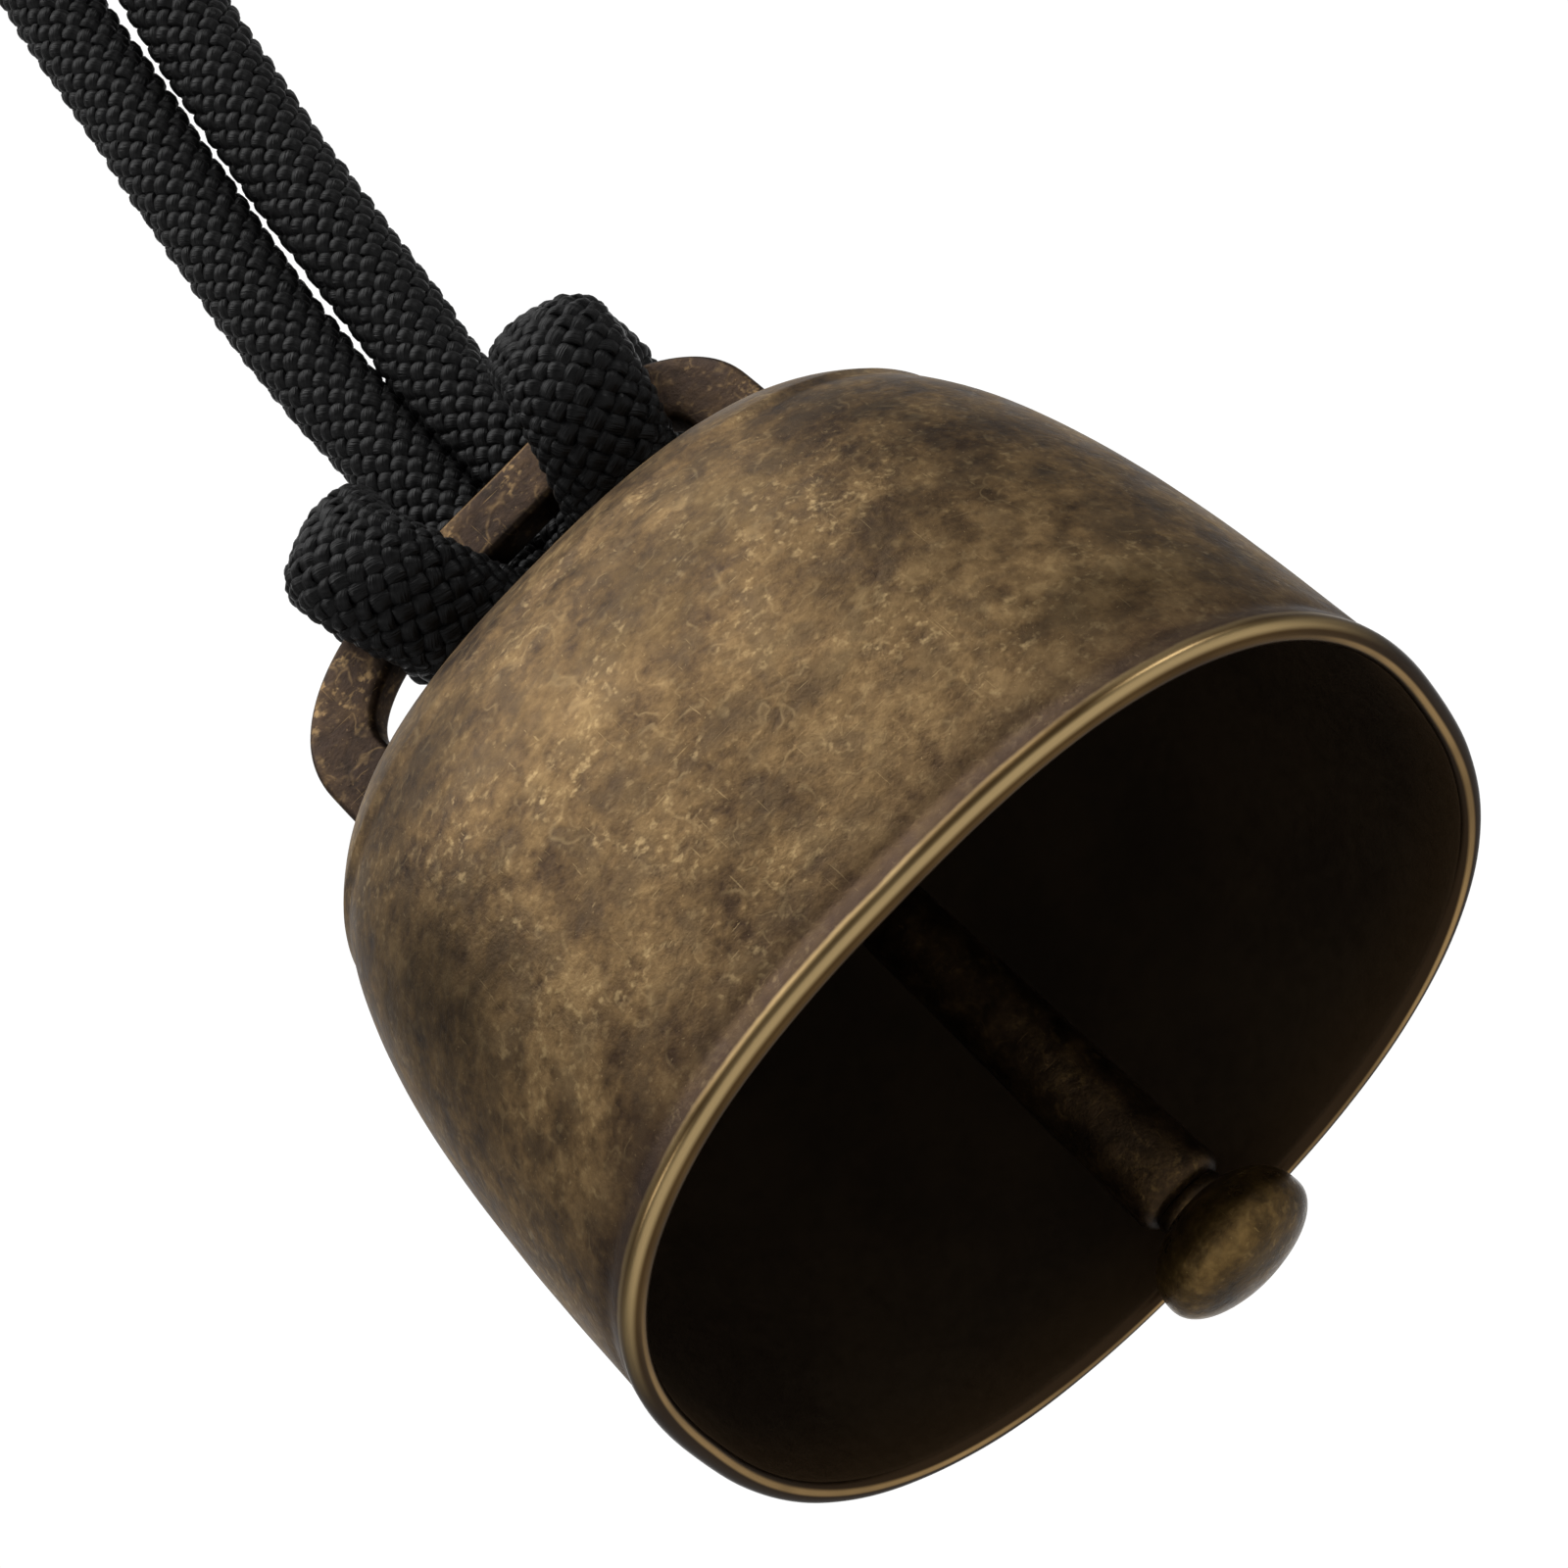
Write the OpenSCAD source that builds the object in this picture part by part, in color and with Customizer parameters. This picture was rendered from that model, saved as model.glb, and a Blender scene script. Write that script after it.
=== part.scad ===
// Small hanging bell of oval plan, on a doubled cord.
// The bell hangs mouth down. +Z is up, the long side of the oval runs along X.
// The origin is the point where the doubled cord is held, just under its knot.

/* [Bell] */
// Width of the mouth, long side of the oval
bell_w = 44; // [42:0.5:46]
// Depth of the mouth, short side of the oval
bell_d = 34.8; // [34.2:0.2:37]
// Height from the mouth to the top of the crown
bell_h = 36.6; // [36:0.2:37.6]
// Wall thickness
wall = 0.9; // [0.8:0.1:1.2]
// Squareness of the oval, 2 is a true ellipse
oval_n = 2.5; // [2:0.1:3]
// How far the lip stands out from the wall above it
lip_out = 0.25; // [0:0.05:0.4]
// Height of the lip bead
lip_h = 1.2; // [0.8:0.1:2]

/* [Hanger bail] */
// Outer width of the bail
bail_w = 27.8; // [26:0.2:29]
// Height of the bail's top edge above the crown
bail_rise = 11.65; // [11.2:0.05:12.2]
// Width of the strip that the bail is cut from
bail_strip = 3.6; // [3.2:0.1:3.8]
// Thickness of the bail plate
bail_t = 1.6; // [1.4:0.1:1.6]
// Sideways offset of the bail from the middle of the crown
bail_off = -0.2; // [-0.3:0.1:0.3]

/* [Clapper] */
// Length from the staple's bar to the middle of the striker
clapper_len = 37; // [36.5:0.1:37.3]
// Diameter of the striker button
head_d = 7.9; // [7:0.1:8.2]
// Thickness of the striker button if it were as flat above as below
head_h = 3.8; // [3:0.1:4]
// Diameter of the rod at its lower end
rod_d_low = 4.4; // [3.8:0.1:4.6]
// Diameter of the rod at its upper end
rod_d_top = 3.2; // [2.8:0.1:3.4]
// Angle at which the clapper leans towards the back wall
lean = 21; // [15:0.5:21]

/* [Cord] */
// Diameter of the braided cord
cord_d = 5; // [4.6:0.1:5]

/* [Hidden] */

// Place of the mouth's middle, seen from the origin under the knot.
bell_x = -9;
bell_z = -112;

// ---- curve of the bell: half width, half depth and their exponents ----
ha = bell_w / 2;
hb = bell_d / 2;
rise_p = 3.3;
side_x = 3.8;
side_y = 2.3;
ease = function (u) let (c = max(0, min(1, u))) c * c * (3 - 2 * c);
step_in = function (z) -lip_out * ease((z - 0.8) / (lip_h));
fall = function (s, q) pow(max(0, 1 - pow(max(0, min(1, s)), rise_p)), 1 / q);
// One ring of the oval at height z, half sizes a and b.
SEG = 72;
spw = function (v) sign(v) * pow(abs(v), 2 / oval_n);
ring = function (a, b, z) [for (i = [0:SEG - 1]) let (t = 360 * i / SEG) [a * spw(cos(t)), b * spw(sin(t)), z]];
// Heights of the rings, as fractions of the full height: close together at the lip and the crown.
low_f = [0.035, 0.06, 0.1, 0.2, 0.32, 0.44, 0.55, 0.65];
hi_t = [for (i = [0:11]) 28 + i * 5.4];
fracs = concat(low_f, [for (t = hi_t) pow(sin(t), 2 / rise_p)]);
out_h = bell_h;
in_h = bell_h - wall;
out_ring = function (f) let (z = f * out_h) ring((ha + step_in(z)) * fall(f, side_x), (hb + step_in(z)) * fall(f, side_y), z);
in_ring = function (f) let (z = f * in_h) ring((ha - lip_out - wall) * fall(f, side_x) + 0.0, (hb - lip_out - wall) * fall(f, side_y), z);
// Outer crown height over a point of the long axis, and the same inside.
crown_z = function (x) out_h * pow(1 - pow(abs(x) / (ha - lip_out), side_x), 1 / rise_p);
crown_in = function (x) in_h * pow(1 - pow(abs(x) / (ha - lip_out - wall), side_x), 1 / rise_p);

// ---- bail outline ----
bail_top = bell_h + bail_rise;
bar_z = bail_top - bail_strip / 2;
hw = bail_w / 2;
corner_x = 9;
corner_z = 7;
tenon_w = 2.4;
tenon_x = hw - bail_strip / 2;
slope_at = function (x) atan2(crown_in(x) - crown_in(x + 0.2), 0.2);

// ---- clapper hanging ----
wire_d = 1.6;
staple_z = 31.8;
staple_leg = 3.4;
link_R = 2.6;
link_d = 1.3;
link_cz = staple_z + wire_d / 2 + 0.1 + link_d / 2 - link_R;
hook_z = link_cz - link_R;
eye_r = 1;
eye_z = hook_z + link_d / 2 + 0.1 - eye_r;
head_z = staple_z - clapper_len;
// The button is fuller on the rod's side.
head_up = head_h * 0.71;
rod_low = head_z + head_h / 2 + 1.05;
rod_top = eye_z - 1.75;
stud_d = 2.4;

// ---- cord route, seen from the middle of the mouth ----
// Middle of the pair of strands, sideways, at each height.
strand_pts = [[6.5, 0, 112], [5.5, 0.6, 104], [4.5, 1, 98], [3.6, 1.5, 92], [2.3, 2.1, 84], [1.4, 2.6, 78], [0.5, 3, 72], [-0.1, 3.5, 66], [-0.7, 4, 60], [-1, 4.4, 54]];
strand_pts_r = [[11.7, 0, 112], [11.4, 0.6, 104], [10.4, 1, 98], [9.1, 1.5, 92], [7.7, 2.1, 84], [6.7, 2.6, 78], [5.9, 3, 72], [5.1, 3.5, 66], [4.4, 4, 60], [4.1, 4.4, 54]];
hitch_x = 1.3;
hitch_l = [[2.5, 4.5, 49.1], [2.5, 4.5, 46.1], [3.1, 3.2, 42.9], [4.7, 0, 41.8], [6, -3.6, 43.1], [7, -4.9, 46.7], [6.9, -3.5, 49.8], [6.8, 0, 51.3], [7, 3.5, 51.1], [6.2, 7.4, 50.2], [4.6, 9.4, 49.1], [2.4, 9.8, 48.7]];
hitch_r = [[2.5, 4.5, 49.1], [2.5, 4.5, 46.1], [3.1, 3.2, 42.8], [4.5, 0, 41.7], [5.7, -3.6, 42.9], [6.7, -4.9, 46], [7, -3.5, 49.2], [7.3, -0.2, 50.6], [7.5, 3.4, 50.3], [6.6, 7.3, 49.5], [4.8, 9.3, 48.8], [2.4, 9.8, 48.6]];
route = concat(strand_pts,
    [for (p = hitch_l) [hitch_x - p[0], p[1], p[2]]],
    [[hitch_x, 9.8, 48.6]],
    [for (i = [len(hitch_r) - 1:-1:0]) [hitch_x + hitch_r[i][0], hitch_r[i][1], hitch_r[i][2]]],
    [for (i = [len(strand_pts_r) - 1:-1:0]) strand_pts_r[i]]);

// ---- knot, seen from the point where the cord is held ----
knot_mid = [-0.5, -2.4];
knot_r = 11;
knot_h = 30.4;
tails = [[[0, 0.5, 26], [2, 1.7, 36.2]], [[-3.2, -4.2, 26], [-5.2, -5.3, 35.8]]];

// Smooth curve through the route's points, one extra ring half way along each tight step.
at = function (p, i) p[max(0, min(len(p) - 1, i))];
cat = function (a, b, c, d, t) 0.5 * (2 * b + (c - a) * t + (2 * a - 5 * b + 4 * c - d) * t * t + (3 * b - a - 3 * c + d) * t * t * t);
smooth = function (p) concat([for (i = [0:len(p) - 2]) let (tight = p[i][2] < 53 || p[i + 1][2] < 53) each (tight ? [cat(at(p, i - 1), p[i], p[i + 1], at(p, i + 2), 0), cat(at(p, i - 1), p[i], p[i + 1], at(p, i + 2), 0.5)] : [p[i]])], [p[len(p) - 1]]);
unit = function (v) v / norm(v);
// Frames carried along the curve without twisting.
tangents = function (c) [for (i = [0:len(c) - 1]) unit(at(c, i + 1) - at(c, i - 1))];
carry = function (ts, n, i = 0, acc = []) i >= len(ts) ? acc : let (m = unit(n - (n * ts[i]) * ts[i])) carry(ts, m, i + 1, concat(acc, [m]));

module tube(c, d, sides = 10) {
    ts = tangents(c);
    ns = carry(ts, [0, 1, 0]);
    pts = [for (i = [0:len(c) - 1]) let (b = cross(ts[i], ns[i])) for (k = [0:sides - 1]) let (t = 360 * k / sides) c[i] + d / 2 * (cos(t) * ns[i] + sin(t) * b)];
    n = len(c);
    sidesf = [for (i = [0:n - 2]) for (k = [0:sides - 1]) let (a = i * sides + k, b = i * sides + (k + 1) % sides) each [[a, a + sides, b + sides], [a, b + sides, b]]];
    caps = [[for (k = [0:sides - 1]) k], [for (k = [sides - 1:-1:0]) (n - 1) * sides + k]];
    polyhedron(points = pts, faces = concat(sidesf, caps), convexity = 10);
}

// Everything below the knot is drawn from the middle of the mouth.
module at_bell() { translate([bell_x, 0, bell_z]) children(); }

// The oval bowl: outer skin, rounded lip and inner skin as one closed skin.
module bowl() {
    nf = len(fracs);
    lip = [for (t = [-90:30:90]) let (m = wall / 2, o = -m + m * sin(-t), z = m - m * cos(t)) ring(ha + o, hb + o, z)];
    outer = [for (f = fracs) out_ring(f)];
    inner = [for (i = [nf - 1:-1:0]) in_ring(fracs[i])];
    // from the outer crown down, round the lip, and up inside
    rings = concat([for (i = [nf - 1:-1:0]) outer[i]], lip, [for (i = [nf - 1:-1:0]) inner[i]]);
    pts = concat([for (r = rings) each r], [[0, 0, out_h], [0, 0, in_h]]);
    nr = len(rings);
    topo = nr * SEG;
    f = concat(
        [for (r = [0:nr - 2]) for (k = [0:SEG - 1]) let (a = r * SEG + k, b = r * SEG + (k + 1) % SEG) each [[a, b, b + SEG], [a, b + SEG, a + SEG]]],
        [for (k = [0:SEG - 1]) [topo, (k + 1) % SEG, k]],
        [for (k = [0:SEG - 1]) [topo + 1, (nr - 1) * SEG + k, (nr - 1) * SEG + (k + 1) % SEG]]);
    polyhedron(points = pts, faces = f, convexity = 6);
}

// Oval brass bowl with the slots for the bail's tenons and the holes for the staple's legs.
module bell_shell() {
    color([0.42, 0.32, 0.18]) at_bell() difference() {
        bowl();
        for (s = [-1, 1]) {
            translate([bail_off + s * tenon_x - tenon_w / 2, -bail_t / 2, crown_in(tenon_x) - 4]) cube([tenon_w, bail_t, 8]);
            translate([s * staple_leg, 0, bell_h - 4]) cylinder(d = wire_d, h = 8, $fn = 32);
        }
    }
}

// Outline of the bail above the crown: an arch with broad corners, open below.
module bail_outline(w, top, cx, cz, base) {
    polygon(concat([[-w, base]],
        [for (t = [0:7.5:90]) [-w + cx - cx * cos(t), top - cz + cz * sin(t)]],
        [for (t = [90:-7.5:0]) [w - cx + cx * cos(t), top - cz + cz * sin(t)]],
        [[w, base]]));
}

// Flat stamped bail: the arch, its feet cut to the crown's curve, and a tenon with a peened end on each foot.
module hanger_bail() {
    inner_w = hw - bail_strip;
    color([0.24, 0.17, 0.11]) at_bell() translate([bail_off, 0, 0]) {
        rotate([90, 0, 0]) translate([0, 0, -bail_t / 2]) linear_extrude(height = bail_t) difference() {
            bail_outline(hw, bail_top, corner_x, corner_z, crown_z(hw) - 3);
            bail_outline(inner_w, bail_top - bail_strip, corner_x - bail_strip, corner_z - bail_strip, crown_z(hw) - 4);
            polygon(concat([for (x = [-hw - 1:0.5:hw + 1]) [x, crown_z(x + bail_off) - 0.05]], [[hw + 1, 0], [-hw - 1, 0]]));
        }
        for (s = [-1, 1]) translate([s * tenon_x, 0, 0]) {
            translate([-tenon_w / 2, -bail_t / 2, crown_in(tenon_x) - 0.6]) cube([tenon_w, bail_t, crown_z(tenon_x) - crown_in(tenon_x) + 1.2]);
            translate([0, 0, crown_in(tenon_x)]) rotate([0, s * slope_at(tenon_x), 0]) translate([0, 0, -0.95]) cylinder(d1 = 2.4, d2 = 3.8, h = 0.95, $fn = 32);
        }
    }
}

// Wire staple through the crown, its legs peened over on top.
module clapper_staple() {
    r = 1.4;
    top = bell_h;
    color([0.35, 0.26, 0.15]) at_bell() {
        for (s = [-1, 1]) {
            translate([s * staple_leg, 0, staple_z + r]) cylinder(d = wire_d, h = top - staple_z - r, $fn = 32);
            translate([s * (staple_leg - r), 0, staple_z + r]) rotate([90, 0, 0]) rotate([0, 0, s > 0 ? 270 : 180]) rotate_extrude(angle = 90, $fn = 48) translate([r, 0]) circle(d = wire_d, $fn = 24);
            translate([s * staple_leg, 0, top - 0.06]) cylinder(d1 = 2.8, d2 = 2, h = 0.6, $fn = 32);
        }
        translate([-(staple_leg - r), 0, staple_z]) rotate([0, 90, 0]) cylinder(d = wire_d, h = 2 * (staple_leg - r), $fn = 32);
    }
}

// The link and the clapper lean together about the staple's bar.
module leaning() { at_bell() translate([0, 0, staple_z]) rotate([lean, 0, 0]) translate([0, 0, -staple_z]) children(); }

// Closed wire ring that hangs on the staple's bar and carries the clapper's eye.
module clapper_link() {
    color([0.35, 0.26, 0.15]) leaning() translate([0, 0, link_cz]) rotate([0, 90, 0]) rotate_extrude($fn = 64) translate([link_R, 0]) circle(d = link_d, $fn = 24);
}

// Tapered clapper rod with a flat drilled eye above and a drilled, rounded end below.
module clapper_rod() {
    color([0.38, 0.29, 0.17]) leaning() difference() {
        union() {
            translate([0, 0, rod_low + 0.6]) cylinder(d1 = rod_d_low, d2 = rod_d_top, h = rod_top - rod_low - 0.6, $fn = 48);
            rotate_extrude($fn = 48) polygon(concat([[0, rod_low], [rod_d_low / 2 - 0.6, rod_low]], [for (t = [-75:15:0]) [rod_d_low / 2 - 0.6 + 0.6 * cos(t), rod_low + 0.6 + 0.6 * sin(t)]], [[0, rod_low + 0.6]]));
            translate([0, 0, eye_z]) rotate([90, 0, 0]) cylinder(r = 2.2, h = 1.2, center = true, $fn = 48);
        }
        translate([0, 0, eye_z]) rotate([90, 0, 0]) cylinder(r = eye_r, h = 6, center = true, $fn = 48);
        translate([0, 0, rod_low - 1]) cylinder(d = stud_d, h = 6, $fn = 32);
    }
}

// Rounded striker button with its stud, pressed into the rod's lower end.
module clapper_head() {
    color([0.45, 0.34, 0.19]) leaning() translate([0, 0, head_z]) {
        rotate_extrude($fn = 64) polygon([for (t = [-90:9:90]) [head_d / 2 * pow(max(0, cos(t)), 2 / 2.2), (t > 0 ? head_up : head_h / 2) * sign(sin(t)) * pow(abs(sin(t)), 2 / 2.2)]]);
        cylinder(d = stud_d, h = rod_low - head_z + 4.6, $fn = 32);
    }
}

// One cord: down one strand, under and over the bail's bar, across behind the strands, and back up.
module hanging_cord() { color([0.035, 0.035, 0.04]) at_bell() tube(smooth(route), cord_d); }

// Outer shape of the knot that ties the two ends together, with its two short tails.
module cord_knot() {
    color([0.035, 0.035, 0.04]) {
        translate([knot_mid[0], knot_mid[1], 0]) rotate_extrude($fn = 48) polygon(concat([[0, 0]], [for (t = [-80:10:80]) [knot_r * pow(cos(t), 0.8), knot_h / 2 * (1 + sign(sin(t)) * pow(abs(sin(t)), 0.8))]], [[0, knot_h]]));
        for (w = tails) hull() for (q = w) translate(q) sphere(d = cord_d, $fn = 24);
    }
}

bell_shell();
hanger_bail();
clapper_staple();
clapper_link();
clapper_rod();
clapper_head();
hanging_cord();
cord_knot();
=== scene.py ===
import math

import bpy
import numpy as np
from mathutils import Matrix, Vector, noise


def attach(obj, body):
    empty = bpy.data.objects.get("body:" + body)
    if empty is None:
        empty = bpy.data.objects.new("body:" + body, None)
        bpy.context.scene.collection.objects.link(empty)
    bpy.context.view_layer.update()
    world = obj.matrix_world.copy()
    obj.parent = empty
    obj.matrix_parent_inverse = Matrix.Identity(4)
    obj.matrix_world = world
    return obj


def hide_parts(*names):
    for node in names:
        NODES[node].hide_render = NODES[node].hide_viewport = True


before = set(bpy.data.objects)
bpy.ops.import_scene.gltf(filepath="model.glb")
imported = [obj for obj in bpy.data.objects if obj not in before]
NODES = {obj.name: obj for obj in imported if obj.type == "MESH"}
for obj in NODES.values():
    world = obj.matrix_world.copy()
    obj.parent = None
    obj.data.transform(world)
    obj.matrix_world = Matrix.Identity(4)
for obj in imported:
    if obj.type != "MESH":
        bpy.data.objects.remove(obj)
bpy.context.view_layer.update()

# ------------------------------------------------------------------ places
# Lengths below are millimetres from the middle of the bell's mouth, +Z up.
OFF = np.array([-9.0, 0.0, -112.0])


def M(p):
    """Millimetres from the mouth's middle -> metres in the row frame."""
    return (np.asarray(p, float) + OFF) / 1000.0


# ------------------------------------------------------------------ camera
AZ, EL, ROLL = 0.04073375, 0.69863685, -0.03645955
TX, TY, DIST, FOCAL = -0.78385, -17.07114, 184.7364, 4587.625
ca, sa, ce, se = math.cos(AZ), math.sin(AZ), math.cos(EL), math.sin(EL)
right = np.array([ca, -sa, 0.0])
up = np.array([-sa * se, -ca * se, ce])
fwd = np.array([sa * ce, ca * ce, se])
eye = -(TX * right + TY * up + DIST * fwd)
phi = math.pi / 4 - ROLL
cx_ = right * math.cos(phi) - up * math.sin(phi)
cy_ = right * math.sin(phi) + up * math.cos(phi)
cam_data = bpy.data.cameras.new("camera")
cam_data.sensor_width = 36.0
cam_data.lens = 36.0 * FOCAL / 1600.0
cam_data.clip_start = 0.005
cam_data.clip_end = 50
cam = bpy.data.objects.new("camera", cam_data)
bpy.context.scene.collection.objects.link(cam)
e_ = M(eye)
cam.matrix_world = Matrix(((cx_[0], cy_[0], -fwd[0], e_[0]), (cx_[1], cy_[1], -fwd[1], e_[1]), (cx_[2], cy_[2], -fwd[2], e_[2]), (0, 0, 0, 1)))
bpy.context.scene.camera = cam
bpy.context.scene.view_settings.view_transform = "Standard"
bpy.context.scene.view_settings.look = "None"


# ------------------------------------------------------------------ meshes
def mesh_object(name, verts, faces, mats, attrs=None, face_mat=None, smooth=True):
    """A mesh from millimetre points, smooth shaded, with its materials and point attributes."""
    me = bpy.data.meshes.new(name)
    me.from_pydata(M(verts).tolist(), [], [list(map(int, f)) for f in faces])
    me.validate()
    me.update()
    for m in mats:
        me.materials.append(m)
    if face_mat is not None:
        me.polygons.foreach_set("material_index", np.asarray(face_mat, np.int32))
    me.polygons.foreach_set("use_smooth", [smooth] * len(me.polygons))
    for key, val in (attrs or {}).items():
        val = np.asarray(val, np.float32)
        if val.ndim == 1:
            a = me.attributes.new(key, "FLOAT", "POINT")
            a.data.foreach_set("value", val)
        else:
            a = me.attributes.new(key, "FLOAT_VECTOR", "POINT")
            a.data.foreach_set("vector", val.ravel())
    o = bpy.data.objects.new(name, me)
    bpy.context.scene.collection.objects.link(o)
    return o


def grid_faces(rows, cols, start=0, wrap=True, flip=False):
    """Quads over rows of points; each row has cols points, closed round when wrap."""
    r = np.arange(rows - 1)[:, None]
    c = np.arange(cols if wrap else cols - 1)[None]
    a = start + r * cols + c
    b = start + r * cols + (c + 1) % cols
    f = np.stack([a, b, b + cols, a + cols], -1).reshape(-1, 4)
    return f[:, ::-1] if flip else f


class Build:
    """Collects several closed shapes into one mesh."""

    def __init__(self):
        self.v, self.f, self.n = [], [], 0

    def add(self, v, f):
        v = np.asarray(v, float)
        self.v.append(v)
        self.f += [tuple(int(i) + self.n for i in q) for q in f]
        self.n += len(v)

    def rings(self, rings, cap0=True, cap1=True):
        """A lofted skin through rings of equal count, closed at both ends by a middle point."""
        rings = [np.asarray(r, float) for r in rings]
        k = len(rings[0])
        v = np.vstack(rings)
        f = [tuple(q) for q in grid_faces(len(rings), k)]
        extra = []
        if cap0:
            extra.append(rings[0].mean(0))
            i = len(v)
            f += [(i, (c + 1) % k, c) for c in range(k)]
        if cap1:
            extra.append(rings[-1].mean(0))
            i = len(v) + len(extra) - 1
            s = (len(rings) - 1) * k
            f += [(i, s + c, s + (c + 1) % k) for c in range(k)]
        self.add(np.vstack([v] + [np.array(extra)] if extra else [v]), f)

    def lathe(self, prof, n=64, axis="z", centre=(0, 0, 0)):
        """A turned shape: prof is a list of (radius, height) from one end to the other."""
        t = np.linspace(0, 2 * math.pi, n, endpoint=False)
        rings = []
        for r, h in prof:
            r = max(r, 1e-4)
            p = np.stack([r * np.cos(t), r * np.sin(t), np.full(n, h)], 1)
            if axis == "y":
                p = p[:, [0, 2, 1]] * np.array([1, -1, 1])
            rings.append(p + np.asarray(centre, float))
        self.rings(rings)


def catmull(P, per=16):
    """A smooth curve through the points, centripetal so that it doesn't overshoot."""
    P = np.asarray(P, float)
    Q = np.vstack([2 * P[0] - P[1], P, 2 * P[-1] - P[-2]])
    out = []
    for i in range(1, len(Q) - 2):
        a, b, c, d = Q[i - 1], Q[i], Q[i + 1], Q[i + 2]
        t0 = 0.0
        t1 = t0 + np.linalg.norm(b - a) ** 0.5
        t2 = t1 + np.linalg.norm(c - b) ** 0.5
        t3 = t2 + np.linalg.norm(d - c) ** 0.5
        t = np.linspace(t1, t2, per, endpoint=False)[:, None]
        A1 = (t1 - t) / (t1 - t0) * a + (t - t0) / (t1 - t0) * b
        A2 = (t2 - t) / (t2 - t1) * b + (t - t1) / (t2 - t1) * c
        A3 = (t3 - t) / (t3 - t2) * c + (t - t2) / (t3 - t2) * d
        B1 = (t2 - t) / (t2 - t0) * A1 + (t - t0) / (t2 - t0) * A2
        B2 = (t3 - t) / (t3 - t1) * A2 + (t - t1) / (t3 - t1) * A3
        out.append((t2 - t) / (t2 - t1) * B1 + (t - t1) / (t2 - t1) * B2)
    return np.vstack(out + [P[-1:]])


def evenly(c, step):
    s = np.concatenate([[0], np.cumsum(np.linalg.norm(np.diff(c, axis=0), axis=1))])
    n = max(2, int(round(s[-1] / step)) + 1)
    q = np.linspace(0, s[-1], n)
    return np.stack([np.interp(q, s, c[:, k]) for k in range(c.shape[1])], 1), q


def soften(c, sigma):
    """Gaussian smoothing along a line of evenly spaced points, ends held."""
    k = int(3 * sigma) + 1
    w = np.exp(-0.5 * (np.arange(-k, k + 1) / sigma) ** 2)
    w /= w.sum()
    pad = np.vstack([2 * c[0] - c[k:0:-1], c, 2 * c[-1] - c[-2 : -k - 2 : -1]])
    return np.stack([np.convolve(pad[:, i], w, "valid") for i in range(c.shape[1])], 1)


def frames(c, first):
    """Tangents and side vectors carried along the curve without twisting."""
    t = np.gradient(c, axis=0)
    t /= np.linalg.norm(t, axis=1)[:, None]
    n = np.empty_like(c)
    v = np.array(first, float)
    for i in range(len(c)):
        v = v - (v @ t[i]) * t[i]
        v /= np.linalg.norm(v)
        n[i] = v
    return t, n, np.cross(t, n)


def smoothstep(a, b, x):
    x = np.clip((np.asarray(x, float) - a) / (b - a), 0, 1)
    return x * x * (3 - 2 * x)


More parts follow.
